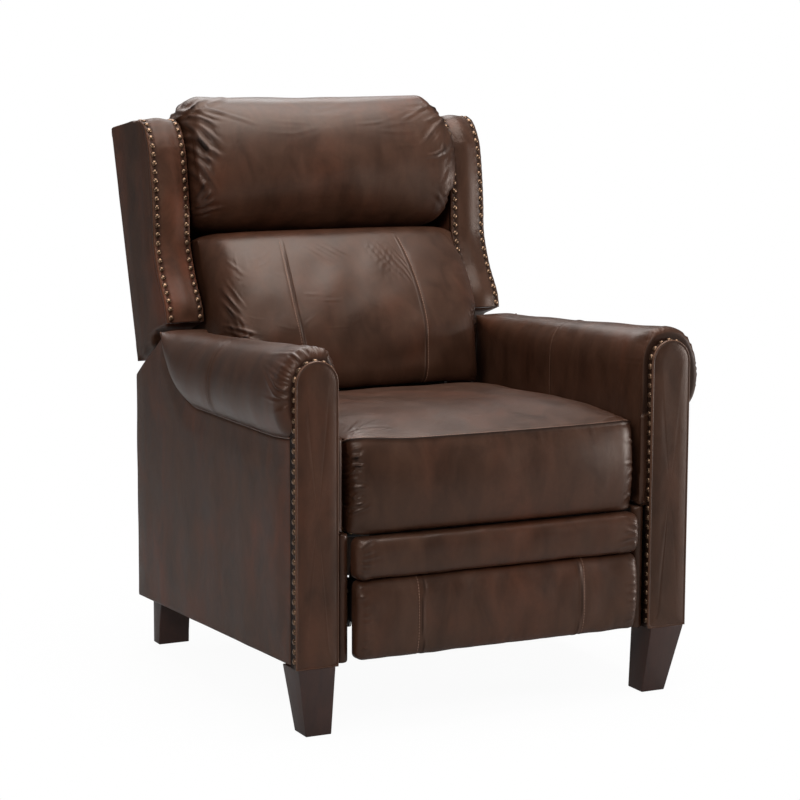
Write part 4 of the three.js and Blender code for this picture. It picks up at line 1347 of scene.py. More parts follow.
    def cover(self, side: Side, coarse: bool = False) -> Skin:
        """The leather that rolls over the arm and runs down inside it.

        Args:
            side: Which arm.
            coarse: Whether to leave out the fine wrinkles.

        Returns:
            The cover's skin. Its sheet is (from the front, way round).
        """
        skin = self.smooth_cover(side)
        rng = np.random.default_rng(SEED + 5 * side.value)
        x, y, z = (skin.rings[..., k] for k in range(3))
        behind = y - self.roll_front
        hidden = ((x > self.body_inner + 2) & (z < self.shoulder + 1)) | (z < 340)
        shown = 1.0 - hidden.astype(float)
        pleats = self.pleats(skin, side, rng) * shown * eased(behind, 0.5, 5)
        inner = eased(z, 338, 352) * (1 - eased(x, self.body_inner + 8, self.body_inner + 30))
        swell = 8.8 * bump(behind, 13, 18) - 1.2 * bump(behind, 60, 20)
        skin = skin.raised(pleats, folded=False).raised(swell * inner * shown, folded=False)
        # Painted shade: the leather darkens where it turns in beside the nails, and in the pleats'
        # valleys.
        turned = 1.7 * (1 - eased(behind, 0.2, 2.5)) * shown
        skin.fold = skin.fold + turned + 0.42 * np.maximum(-pleats, 0)
        skin = skin.uneven(130, 0.8, shown * eased(behind, 30, 80), rng)
        # The seam's groove is kept as a fold, which paints shade into it.
        seam = -2.0 * bump(y, self.seam_at, 2.2) + 1.3 * bump(y, self.seam_at + 5.5, 4.0)
        skin = skin.raised(seam * shown)
        if coarse:
            return skin.mirrored(side)
        return skin.creased(scattered(16, (60, 560), (60, 330), (60, 120), (25, 70), 20,
                                      (1.4, 2.4), (0.18, 0.4), rng, 0.6)).mirrored(side)

    def outside_panel(self, side: Side) -> Skin:
        """The flat leather panel on the outside of an arm.

        Args:
            side: Which arm.

        Returns:
            Its skin.
        """
        ends = 8 * (1 - np.cos(np.linspace(0.1, math.pi / 2, 6)))
        places = [*(28.4 + ends), *np.linspace(42, self.depth - 42, 80),
                  *(self.depth - ends)[::-1]]
        turn, r, x = np.linspace(0, math.pi / 2, 6), 5.0, self.outer
        sections = []
        for y in places:
            low = float(self.underside(y))
            high = float(self.seam_at_height(y) if y < self.roll_end else self.rear_cut(y)) - 0.5
            inside = min(y - self.panel_front, self.depth - y)
            face = [(x - r + r * math.sin(a), low + r - r * math.cos(a)) for a in turn]
            face += [(x - r + r * math.cos(a), high - r + r * math.sin(a)) for a in turn]
            outline = ringed([*face, (x - 13.6, high), (x - 13.6, low), face[0]], 150)
            on_face = outline[:, 0] > x - 6
            outline[:, 0] -= 6 * (1 - fullness(inside + 0.1, 8.0)) * on_face
            border = np.minimum(outline[:, 1] - low, high - outline[:, 1])
            outline[:, 0] += on_face * 2.6 * eased(np.minimum(border, inside), 0, 60)
            sections.append((y, outline))
        skin = lofted(sections, 1)
        on_face = (skin.rings[..., 0] > self.outer - 3).astype(float)
        rng = np.random.default_rng(SEED + 9 * side.value)
        return skin.uneven(150, 0.7, on_face, rng).mirrored(side)

    def rear_cover(self, side: Side) -> Skin:
        """The leather over the slope behind the roll.

        Args:
            side: Which arm.

        Returns:
            Its skin.
        """
        sections = []
        for y in np.linspace(self.roll_end + 0.6, self.depth - 15, 24):
            high = float(self.rear_cut(y)) - 0.6
            path = [(305.4, high - 4), (305.4, high - 0.8), (305.4, high), (350, high),
                    (353.2, high - 0.8), (353.2, high - 4), (353.2, high - 13),
                    (305.4, high - 13), (305.4, high - 4)]
            sections.append((y, ringed(path, 60)))
        return lofted(sections, 1, 0).mirrored(side)

    def inside_rear(self, side: Side) -> Skin:
        """The inside panel's rear part, behind the roll."""
        x, end, sections = self.body_inner, self.roll_end, []
        for y in (end + 0.4, end + 3, *np.linspace(end + 8, self.depth - 15, 30)):
            high = float(self.rear_cut(y)) - 0.4
            path = [(x, 338), (x - 0.3, 450), (x, high - 6), (x + 1.8, high - 1.8), (x + 6, high),
                    (x + 24.6, high), (x + 24.6, 334.6), (x + 3, 334.6), (x, 338)]
            sections.append((y, ringed(path, 90)))
        return lofted(sections, 1).mirrored(side)

    def welt(self, side: Side) -> Skin:
        """The folded edge that lies along the seam under the roll.

        Args:
            side: Which arm.

        Returns:
            Its skin.
        """
        radius, around = 1.9, 12
        ys = np.array([29.0, 29.6, 31.0, *np.linspace(34, self.roll_end - 4, 150),
                       self.roll_end - 2.5])
        path = np.column_stack([np.full(len(ys), self.outer + 0.4), ys, self.seam_at_height(ys)])
        along = np.gradient(path, axis=0)
        along /= np.linalg.norm(along, axis=1, keepdims=True)
        out = np.array([1.0, 0.0, 0.0])
        up = np.cross(along, out)[:, None]
        turn = np.linspace(0, 2 * math.pi, around + 1)[:-1]
        size = radius * fullness(np.minimum(ys - 28.6, self.roll_end - ys), 3.0)
        spokes = np.cos(turn)[None, :, None] * out + np.sin(turn)[None, :, None] * up
        rings = path[:, None] + size[:, None, None] * spokes
        sheet = np.stack([np.column_stack([np.full(around, y), radius * turn]) for y in ys])
        # A fold of -3.2 all along paints a highlight on the welt.
        return Skin(rings, sheet, np.full(rings.shape[:2], -3.2)).mirrored(side)

    def rear_flap(self, side: Side) -> Skin:
        """The turned edge behind the inside panel."""
        outline = ringed([(279.9, 437), (279.9, 484), (285, 484), (285, 437), (279.9, 437)], 40)
        places = np.linspace(self.depth - 14.6, self.depth - 3.5, 8)
        return lofted([(y, outline) for y in places], 1).capped((0.6, 0.2)).mirrored(side)

    def inner_post(self, side: Side) -> Skin:
        """The padded leather on the inner side of the front post, below the inside panel.

        Args:
            side: Which arm.

        Returns:
            Its skin.
        """
        x0, x1, y0, y1, r = self.body_inner - 9.3, 291.3, 12.0, 58.0, 12.0
        turn, sections = np.linspace(0, math.pi / 2, 9), []
        for z in (120.4, 121.2, 123.0, *np.linspace(127, 326, 60), 330.0, 332.6, 333.8):
            less = 2.5 * (1 - float(fullness(min(z - 119.8, 334.4 - z), 5.0)))
            a, b = x0 + less, y0 + less
            wander = 0.8 * math.sin(z * 0.031) + 0.5 * math.sin(z * 0.083 + 1)
            path = [(a + r - r * math.cos(t), b + r - r * math.sin(t)) for t in turn]
            path += [(x1 - 4, b + 1.5), (x1, b + 5), (x1, y1), (a + 4.0, y1),
                     (a + 0.4 + 0.2 * wander, (b + y1) / 2), path[0]]
            sections.append((z, ringed(path, 60)))
        return lofted(sections, 2).capped((0.6, 0.2)).mirrored(side)

    def nail_line(self, side: Side) -> Line:
        """The row of nails round a facing's rim.

        Args:
            side: Which arm.

        Returns:
            The nails' places and the ways they face.
        """
        proud, count = 0.2, 200
        arch = self.arch(-proud)
        places = [(arch[0][0], 133.0), *arch, (arch[-1][0], 133.0)]
        path = even(np.array([(x, 9.5, z) for x, z in places]), count)
        half = self.facing_width / 2
        angle = np.arcsin(np.clip((path[:, 2] - (self.facing_top - half)) / (half + proud), 0, 1))
        outer = np.where(np.linspace(0, 1, count) < 0.5, 1.0, -1.0)
        outward = np.column_stack([np.cos(angle) * outer, np.zeros(count), np.sin(angle)])
        return line_on(path * [side.value, 1, 1], outward * [side.value, 1, 1])

    def build(self, nails: Repeat, stitches: Repeat) -> None:
        """Makes both arms and sets them on the frame.

        Args:
            nails: The nail that is repeated.
            stitches: The stitch that is repeated.
        """
        rows, threads, shown = [], [], np.arange(8, 178)
        for side in Side:
            pieces = (
                ("facing", self.facing(side).capped((0.94, 0.84, 0.7, 0.5, 0.3, 0.12)),
                 ("arm_facing",), 0.9),
                ("arm_cover", self.cover(side).capped((0.97, 0.9, 0.6, 0.2)),
                 ("arm_roll", "inside_arm_panel"), 0.85),
                ("outside_leather", self.outside_panel(side).capped((0.9, 0.5, 0.15)),
                 ("outside_arm_panel",), 0.95),
                ("arm_slope", self.rear_cover(side).capped((0.6, 0.2)), (), None),
                ("inside_rear", self.inside_rear(side).capped((0.6, 0.2)), (), None),
                ("inner_post", self.inner_post(side), (), None),
                ("roll_welt", self.welt(side), (), None),
                ("rear_flap", self.rear_flap(side), (), None),
            )
            for name, skin, nodes, fill in pieces:
                mottled = name == "outside_leather"
                finish = self.finishes.side_leather if mottled else self.finishes.leather
                set_on(skin.mesh_object(f"{name}_{side.word}", finish), "root",
                       [f"{node}_{side.word}" for node in nodes])
            rows.append(self.nail_line(side))
            cover = self.cover(side, coarse=True)
            ring = int(np.argmin(np.abs(cover.rings[:, 0, 1] - (self.seam_at + 6.5))))
            way = cover.normals()[ring, shown]
            threads.append(line_on(cover.rings[ring, shown] + way * 0.1, way))
        nails.along("facing_nails", rows, "root", "zinc_steel")
        stitches.along("arm_stitches", threads, "root", "leather")


# Back and wings


@dataclass
class Back:
    """The leaning back: wings and their facings, cushion, pillow and outside panel."""

    finishes: Finishes
    height: float = 457.0
    tail: float = 236.0
    wing_inner: float = 273.0
    wing_outer: float = 345.0
    wing_depth: float = 199.0
    wing_shares: tuple = ((0.0965, 0.914), (0.1774, 0.918), (0.3216, 0.832), (0.4591, 0.806),
                          (0.5911, 0.868), (0.7241, 0.926), (0.865, 0.955))
    wing_corner: tuple = ((-189.5, 373.0), (-186.5, 389.0), (-181.5, 403.0), (-174.0, 415.5),
                          (-163.0, 425.0), (-149.0, 431.0), (-132.0, 434.0))
    wing_front_top: float = 412.1
    nail_inset: float = 7.5
    soft_rear: float = -32.0
    top_slope: float = 0.16
    cushion_half: float = 264.0
    cushion_depth: float = 290.0
    cushion_height: float = 203.0
    cushion_corner: float = 46.0
    cushion_crown: float = 0.14
    cushion_shares: tuple = ((0.593, -0.45), (0.86, -0.555), (0.93, -0.54), (0.967, -0.45),
                             (0.985, -0.31), (1.0, -0.1), (0.988, 0.07), (0.955, 0.26),
                             (0.9, 0.51), (0.82, 0.77), (0.735, 0.94), (0.6, 1.02), (0.3, 1.03))
    cushion_places: tuple = (0, 13, 26, 39, 52, 65, 78, 91, 101, 107, 111.5, 115, 118.5, 123, 129,
                             139, 152, 165, 178, 191, 204, 212)
    seam_across: float = 115.0
    pillow_half: float = 271.0
    pillow_depth: float = 228.0
    pillow_low: float = 214.0
    pillow_height: float = 261.0
    pillow_shares: tuple = ((0.36, 0.02), (0.66, 0.015), (0.82, 0.06), (0.93, 0.17), (0.99, 0.34),
                            (1.0, 0.5), (0.985, 0.66), (0.94, 0.82), (0.85, 0.94), (0.7, 1.0),
                            (0.46, 0.99), (0.22, 0.94))
    pillow_tucks: tuple = (((262, 984), (3, 6), (-66, -14), (40, 95), 4, 3.9, 2.2, -26),
                           ((268, 926), (3, 24), (-70, -44), (40, 90), 4, 4.2, 1.9, 14),
                           ((266, 818), (4, 16), (34, 78), (28, 66), 4, 3.2, 1.6, -16),
                           ((262, 1000), (12, 4), (8, 36), (25, 60), 5, 2.8, 1.6, -10),
                           ((236, 1006), (16, 4), (-30, 4), (40, 110), 4, 2.4, 0.7, 6))

    def wing_front(self) -> np.ndarray:
        """The wing's S-shaped front edge in its side view, as (back, up) rows."""
        line = [(-self.wing_depth * deep, self.wing_front_top * up)
                for up, deep in self.wing_shares]
        return smooth_line([*line, *self.wing_corner], 200)

    def top_line(self, back: float) -> float:
        """The top of the wing, which is level in the chair."""
        return self.height + back * self.top_slope

    def wing_facing(self, side: Side) -> Skin:
        """The strip over the wing's front edge, crowned between its two nailed borders.

        Args:
            side: Which wing.

        Returns:
            Its skin.
        """
        path = self.wing_front()
        outward = square_to(path)
        width, inset = self.wing_outer - self.wing_inner, self.nail_inset
        across = np.array([0, 0.4, 1.4, 3.0, *np.linspace(5, width - 5, 34), width - 3.0,
                           width - 1.4, width - 0.4, width])
        edge = np.minimum(across, width - across)
        crown = (3.6 * eased(edge, 8, 36) - 2.2 * bump(edge, inset, 4.6)
                 - 5.0 * (1 - fullness(edge + 0.05, 5.0)))
        under = np.linspace(width, 0, 20)
        xs = np.concatenate([across, under]) + self.wing_inner
        lift = np.concatenate([crown, np.full(len(under), -11.0)])
        rings = np.stack([np.column_stack([xs, p[0] + o[0] * lift, p[1] + o[1] * lift])
                          for p, o in zip(path, outward)])
        length = np.linalg.norm(np.diff(path, axis=0), axis=1).sum()
        way = np.linspace(0, 1, len(path)) * length
        sheet = np.stack([np.column_stack([xs, np.full(len(xs), w)]) for w in way])
        # Painted shade along both nail rows, and a painted highlight on the strip's two edges.
        shade_and_highlight = 1.2 * bump(edge, inset, 5.0) - 4.6 * bump(edge, 1.4, 1.5)
        fold = np.tile(np.concatenate([shade_and_highlight, np.zeros(len(under))]), (len(path), 1))
        skin = Skin(rings, sheet, fold)
        face = np.zeros_like(fold)
        face[:, : len(across)] = 1.0
        dimples = np.zeros_like(fold)
        first, last = way[4], way[-6]
        for w in np.linspace(first, last, int((last - first) // 16.3) + 1):
            for x in (inset, width - inset):
                away = np.hypot(sheet[..., 0] - self.wing_inner - x, sheet[..., 1] - w)
                dimples -= 1.5 * bump(away, 0, 7.0)
        rng = np.random.default_rng(SEED + 3 * side.value)
        # The dimples are kept as folds, which paints a ring of shade round each nail.
        return skin.raised(dimples * face).uneven(90, 0.5, face, rng).mirrored(side)

    def wing_body(self, side: Side) -> Skin:
        """The wing's upholstered side, behind its facing.

        Args:
            side: Which wing.

        Returns:
            Its skin.
        """
        front = self.wing_front()
        front = front[front[:, 1] < 434.5]
        ups, backs = (1.8, 20.1, 32.4, 39.4), (-0.3, -87.6, -97.5, -126.0)
        rows = [(u, float(np.interp(u, ups, backs)))
                for u in (1.8, 10.0, 20.1, 28.0, 32.4, 36.0, 39.4)]
        rows += [(u, float(np.interp(u, front[:, 1], front[:, 0])) + 7.0)
                 for u in np.linspace(39.9, 433.5, 100)]
        rows += [(u, (u - self.height) / self.top_slope)
                 for u in np.linspace(437.5, self.height - 3.0, 12)]
        r, turn, sections = 5.0, np.linspace(0, math.pi / 2, 5), []
        x0, x1 = self.wing_inner, self.wing_outer
        for u, v0 in rows:
            v0 = min(v0, -r * 1.2 - 0.5)
            v1 = -0.3 - 7.0 * (1 - float(fullness(self.height - 2.4 - u, 9.0)))
            c = min(r, -v0 * 0.45)
            path = [(cx + c * math.cos(start + a), v0 + c + c * math.sin(start + a))
                    for cx, start in ((x0 + c, math.pi), (x1 - c, 1.5 * math.pi)) for a in turn]
            outline = ringed([*path, (x1, v1), (x0, v1), path[0]], 120)
            ends = np.minimum(u - 1.8, self.top_line(v0) - u) + 8
            edge = np.minimum(ends, np.minimum(outline[:, 1] - v0, -outline[:, 1]))
            outline[:, 0] += (outline[:, 0] > x1 - 1) * 1.8 * eased(edge, 0, 45)
            sections.append((u, outline))
        skin = lofted(sections, 2)
        outer = (skin.rings[..., 0] > self.wing_outer - 1).astype(float)
        rng = np.random.default_rng(SEED + 7 * side.value)
        return skin.uneven(120, 0.5, outer, rng).mirrored(side)

    def wing_nails(self, side: Side) -> list[Line]:
        """The two rows of nails on a wing facing.

        Args:
            side: Which wing.

        Returns:
            The places and the ways of each row.
        """
        path, keep = self.wing_front(), slice(4, -5)
        outward = square_to(path)
        way = np.insert(outward, 0, 0.0, axis=1)[keep]
        rows = []
        for x in (self.wing_inner + self.nail_inset, self.wing_outer - self.nail_inset):
            line = np.insert(path + outward * -1.3, 0, x * side.value, axis=1)[keep]
            rows.append(line_on(line, way, leaned))
        return rows

    def closed_behind(self, curve: np.ndarray, low: float, high: float,
                      counts: tuple[int, int, int]) -> np.ndarray:
        """Closes a side outline with a flat rear.

        Args:
            curve: The outline's front, from its foot up.
            low: Where the rear starts.
            high: Where it ends.
            counts: The points along the foot, the head and the rear.

        Returns:
            The closed outline.
        """
        foot, top = [self.soft_rear, low], [self.soft_rear, high]
        return np.vstack([np.linspace(foot, curve[0], counts[0])[:-1], curve,
                          np.linspace(curve[-1], top, counts[1])[1:],
                          np.linspace(top, foot, counts[2])[1:-1]])

    def cushion_outline(self) -> np.ndarray:
        """The back cushion's side outline at its middle, as (back, up) rows."""
        scale = [-self.cushion_depth, self.cushion_height]
        curve = smooth_line(np.array(self.cushion_shares) * scale, 96)
        front = eased(-curve[:, 0], 200, 250)[:, None]
        curve = drawn_in(curve, (-150.0, 20.0), 3.5, front)
        return self.closed_behind(curve, -40.0, self.cushion_height - 8, (12, 8, 20))

    def cushion_skin(self) -> Skin:
        """The back cushion: three panels that bulge between their seams, with soft round ends."""
        outline = self.cushion_outline()
        half, corner, rear = self.cushion_half, self.cushion_corner, self.soft_rear
        flank, centre = -172.0, 45.0
        back, up = outline[:, 0], outline[:, 1]
        rings = []
        places = end_places(half, corner, self.cushion_places, 11)
        for x in places:
            across = abs(x) / half
            full = float(fullness(half - abs(x), corner))
            v = rear + (back - rear) * (1 - self.cushion_crown * across**4)
            v = np.where(v < flank, flank + (v - flank) * full, v)
            u = centre + (up - centre) * (1 - np.where(up > centre, 0.07, 0.0) * (1 - full))
            widest = np.cos((up / self.cushion_height - 0.2) * 2.0)
            bow = 0.12 * x * (1 - across**2) * widest * eased(-back, 190, 240)
            rings.append(np.column_stack([x + bow, v, u]))
        sheet = np.stack([laid_flat(x, outline) for x in places])
        skin = Skin(np.stack(rings), sheet).capped((0.85, 0.6, 0.3), puff=2.0)
        firm = np.maximum(1 - eased(-skin.middle_ring[:, 1], 196, 236),
                          1 - eased(skin.middle_ring[:, 2], -96, -40))
        held = np.tile(firm, (len(skin.rings), 1))
        seam = np.abs(np.abs(skin.sheet[..., 0]) - self.seam_across) < 1.0
        held[seam] = np.maximum(held[seam], 0.65)
        return skin.swollen(held, (4, 0.9), 11.0)

    def dressed_cushion(self) -> Skin:
        """The back cushion with its seams, tucks and wrinkles."""
        skin = self.cushion_skin().refined(3, 3)
        rings = skin.rings.copy()
        fuller = (eased(rings[..., 0], 170, 256) * eased(-rings[..., 1], 192, 222)
                  * eased(rings[..., 2], -8, 44))
        rings[..., 0] += 13.0 * fuller
        rng = np.random.default_rng(SEED + 31)
        sewn = skin.sheet
        across = np.abs(sewn[..., 0]) - self.seam_across
        away = np.abs(across)
        face = eased(-rings[..., 1], 215, 250)
        flat = np.stack([sewn[..., 0], leaned(rings)[..., 2]], axis=-1)
        seam = -1.5 * bump(away, 0, 1.5) + 0.5 * bump(away, 5.0, 3.0) * (across > 0)
        # The seams' grooves are kept as folds, which paints shade into them.
        skin = replace(replace(skin, rings=rings).raised(seam * face), sheet=flat)
        creases = fans((((-58, 750), (26, 3), (-38, -30), (36, 70), 7, 1.7, 0.7, 4),
                        ((66, 750), (22, 3), (-68, -60), (60, 120), 7, 1.7, 0.75, -3),
                        ((-256, 746), (3, 14), (-84, -62), (60, 120), 4, 3.4, 1.9, 10),
                        ((-256, 704), (3, 14), (-78, -56), (45, 90), 4, 3.0, 2.0, 8),
                        ((-254, 650), (3, 14), (-76, -52), (40, 80), 4, 3.2, 1.8, -10),
                        ((-254, 600), (3, 12), (-34, -6), (36, 76), 4, 3.2, 2.0, -12),
                        ((-240, 584), (8, 8), (-20, 20), (30, 60), 4, 2.6, 1.3, 8),
                        ((-190, 742), (36, 3), (-100, -74), (24, 60), 6, 1.8, 0.7, 8),
                        ((252, 690), (3, 30), (-112, -96), (40, 90), 6, 2.4, 1.3, -8),
                        ((246, 600), (4, 24), (100, 150), (24, 60), 5, 2.6, 1.2, 12)), rng)
        creases += scattered(26, (-230, 230), (560, 735), (-80, 30), (18, 55), 25, (1.3, 2.2),
                             (0.1, 0.26), rng)
        return replace(skin.creased(creases, face).uneven(95, 1.0, face, rng), sheet=sewn)

    def pillow_skin(self) -> Skin:
        """The head pillow, a stuffed roll with gathered ends."""
        depth, low, tall, corner = self.pillow_depth, self.pillow_low, self.pillow_height, 42.0
        shares = np.array(self.pillow_shares)
        curve = np.column_stack([-depth * shares[:, 0], low + tall * shares[:, 1]])
        centre = (-depth / 2, low + tall / 2)
        curve = drawn_in(smooth_line(curve, 84), centre, 3.0)
        outline = self.closed_behind(curve, low + tall * 0.12, low + tall * 0.86, (6, 4, 12))
        half = self.pillow_half - 3
        places = end_places(half, corner, np.arange(0, 226, 13.0), 9)
        skin = cushion(half, corner, places, outline, centre)
        skin = skin.capped((0.88, 0.7, 0.5, 0.28), puff=5.0)
        return skin.swollen((skin.rings[..., 1] > -60).astype(float), (5, 0.8), 10.0)

    def dressed_pillow(self) -> Skin:
        """The head pillow with its tucks."""
        skin = self.pillow_skin().refined(3, 3)
        rng = np.random.default_rng(SEED + 47)
        x, back, up = (skin.rings[..., k] for k in range(3))
        front = eased(-back, 200, 216)
        free = np.maximum(front, eased(up, 425, 440))
        right = eased(x, 186, 258) * front * (1 - eased(up, 410, 450))
        drop = np.where(x > 0, eased(x, 226, 284), eased(-x, 238, 286)) * eased(up, 400, 470)
        rings = skin.rings.copy()
        rings[..., 0] += np.sign(x) * eased(np.abs(x), 235, 268) * free * 9.0
        rings[..., 0] += right * (13.0 + 13.0 * (1 - eased(up, 245, 315)))
        rings[..., 2] -= drop * 27.0
        skin = replace(skin, rings=rings, sheet=leaned(rings)[..., ::2])
        creases: list[Crease] = []
        for side, strength in ((Side.RIGHT, 1.0), (Side.LEFT, 0.6)):
            for (at, z), spread, angles, lengths, count, width, depth, bend in self.pillow_tucks:
                if side is Side.LEFT:
                    angles, bend = [180 - angle for angle in angles], -bend
                creases += fan((side.value * at, z), spread, angles, lengths, count, width,
                               depth * strength, bend, rng)
        creases += scattered(10, (-150, 120), (955, 1010), (-14, 6), (60, 150), 8, (1.8, 3.2),
                             (0.1, 0.24), rng)
        creases += scattered(12, (-230, 230), (820, 950), (-60, 60), (20, 60), 20, (1.4, 2.6),
                             (0.1, 0.26), rng)
        outer = eased(-skin.rings[..., 1], 40, 70)
        return skin.creased(creases, outer).uneven(120, 0.9, outer, rng)

    def outside(self) -> Skin:
        """The leather panel that closes the back, narrow between the arms and wide above them."""
        narrow, wide, r = 262.0, 343.0, 3.0
        rows = [(-self.tail + s, narrow - (3 - s) * 0.4) for s in (0.2, 1.2, 3.0)]
        rows += [(u, narrow) for u in np.linspace(-226, 1.0, 34)]
        rows += [(4.2, narrow), (4.4, 342.0), (7.0, wide)]
        rows += [(u, wide) for u in np.linspace(14, self.height - 6, 60)]
        rows += [(self.height - s, wide - (3 - s) * 0.4) for s in (3.0, 1.2, 0.2)]
        turn, sections = np.linspace(0, math.pi / 2, 5), []
        for u, half in rows:
            right = [(half - r + r * math.sin(a), 6.3 - r + r * math.cos(a)) for a in turn]
            left = [(-x, v) for x, v in right[::-1]]
            outline = ringed([*left, *right, (half, 0.4), (-half, 0.4), left[0]], 180)
            edge = np.minimum(half - np.abs(outline[:, 0]), min(u + self.tail, self.height - u))
            out = outline[:, 1] > 5.5
            outline[:, 1] += out * (3.0 * eased(edge, 0, 60) - 3.2 * (1 - eased(edge, 0, 3.0)))
            sections.append((u, outline))
        skin = lofted(sections, 2, 0)
        out = (skin.rings[..., 1] > 5).astype(float)
        return skin.uneven(170, 0.9, out, np.random.default_rng(SEED + 61))

    def top_cover(self) -> Skin:
        """The leather over the top of the back, between the wings."""
        outline = ringed([(-30.5, 440), (-30.5, 452), (-29, 454.6), (-26, 455.6), (-4, 456.8),
                          (0.0, 456.8), (0.0, 446.4), (-29.6, 446.4), (-29.6, 440),
                          (-30.5, 440)], 60)
        end = self.wing_inner - 0.6
        return lofted([(x, outline) for x in np.linspace(-end, end, 60)], 0)

    def build(self, nails: Repeat, stitches: Repeat) -> None:
        """Makes the back and sets it on its body.

        Args:
            nails: The nail that is repeated.
            stitches: The stitch that is repeated.
        """
        leather, rows = self.finishes.leather, []
        for side in Side:
            for skin, name, node in ((self.wing_facing(side), "wing_strip", "wing_facing"),
                                     (self.wing_body(side), "wing_cover", "wing")):
                calm = side is Side.LEFT and name == "wing_strip"
                finish = leather if calm else self.finishes.side_leather
                obj = skin.capped((0.8, 0.4)).mesh_object(f"{name}_{side.word}", finish, leaned)
                set_on(obj, "back", (f"{node}_{side.word}",))
            rows += self.wing_nails(side)
        cushion_skin = self.dressed_cushion()
        for skin, name, nodes, fill in (
                (cushion_skin, "back_cushion_leather", ("back_cushion",), 0.7),
                (self.dressed_pillow(), "head_pillow_leather", ("head_pillow",), 0.75),
                (self.outside().capped((0.9, 0.5)), "outside_back_leather",
                 ("outside_back_panel",), 0.95),
                (self.top_cover().capped((0.5,)), "back_top_cover", (), None)):
            set_on(skin.mesh_object(name, leather, leaned), "back", nodes)
        nails.along("wing_nails", rows, "back", "zinc_steel")
        front = np.nonzero(cushion_skin.middle_ring[:, 1] < -225)[0]
        beside = self.seam_across + 5.5
        threads = [line_on(*skin_line(cushion_skin, place, front, 0.15), leaned)
                   for place in (-beside, beside)]
        stitches.along("back_cushion_stitches", threads, "back", "leather")


# Seat


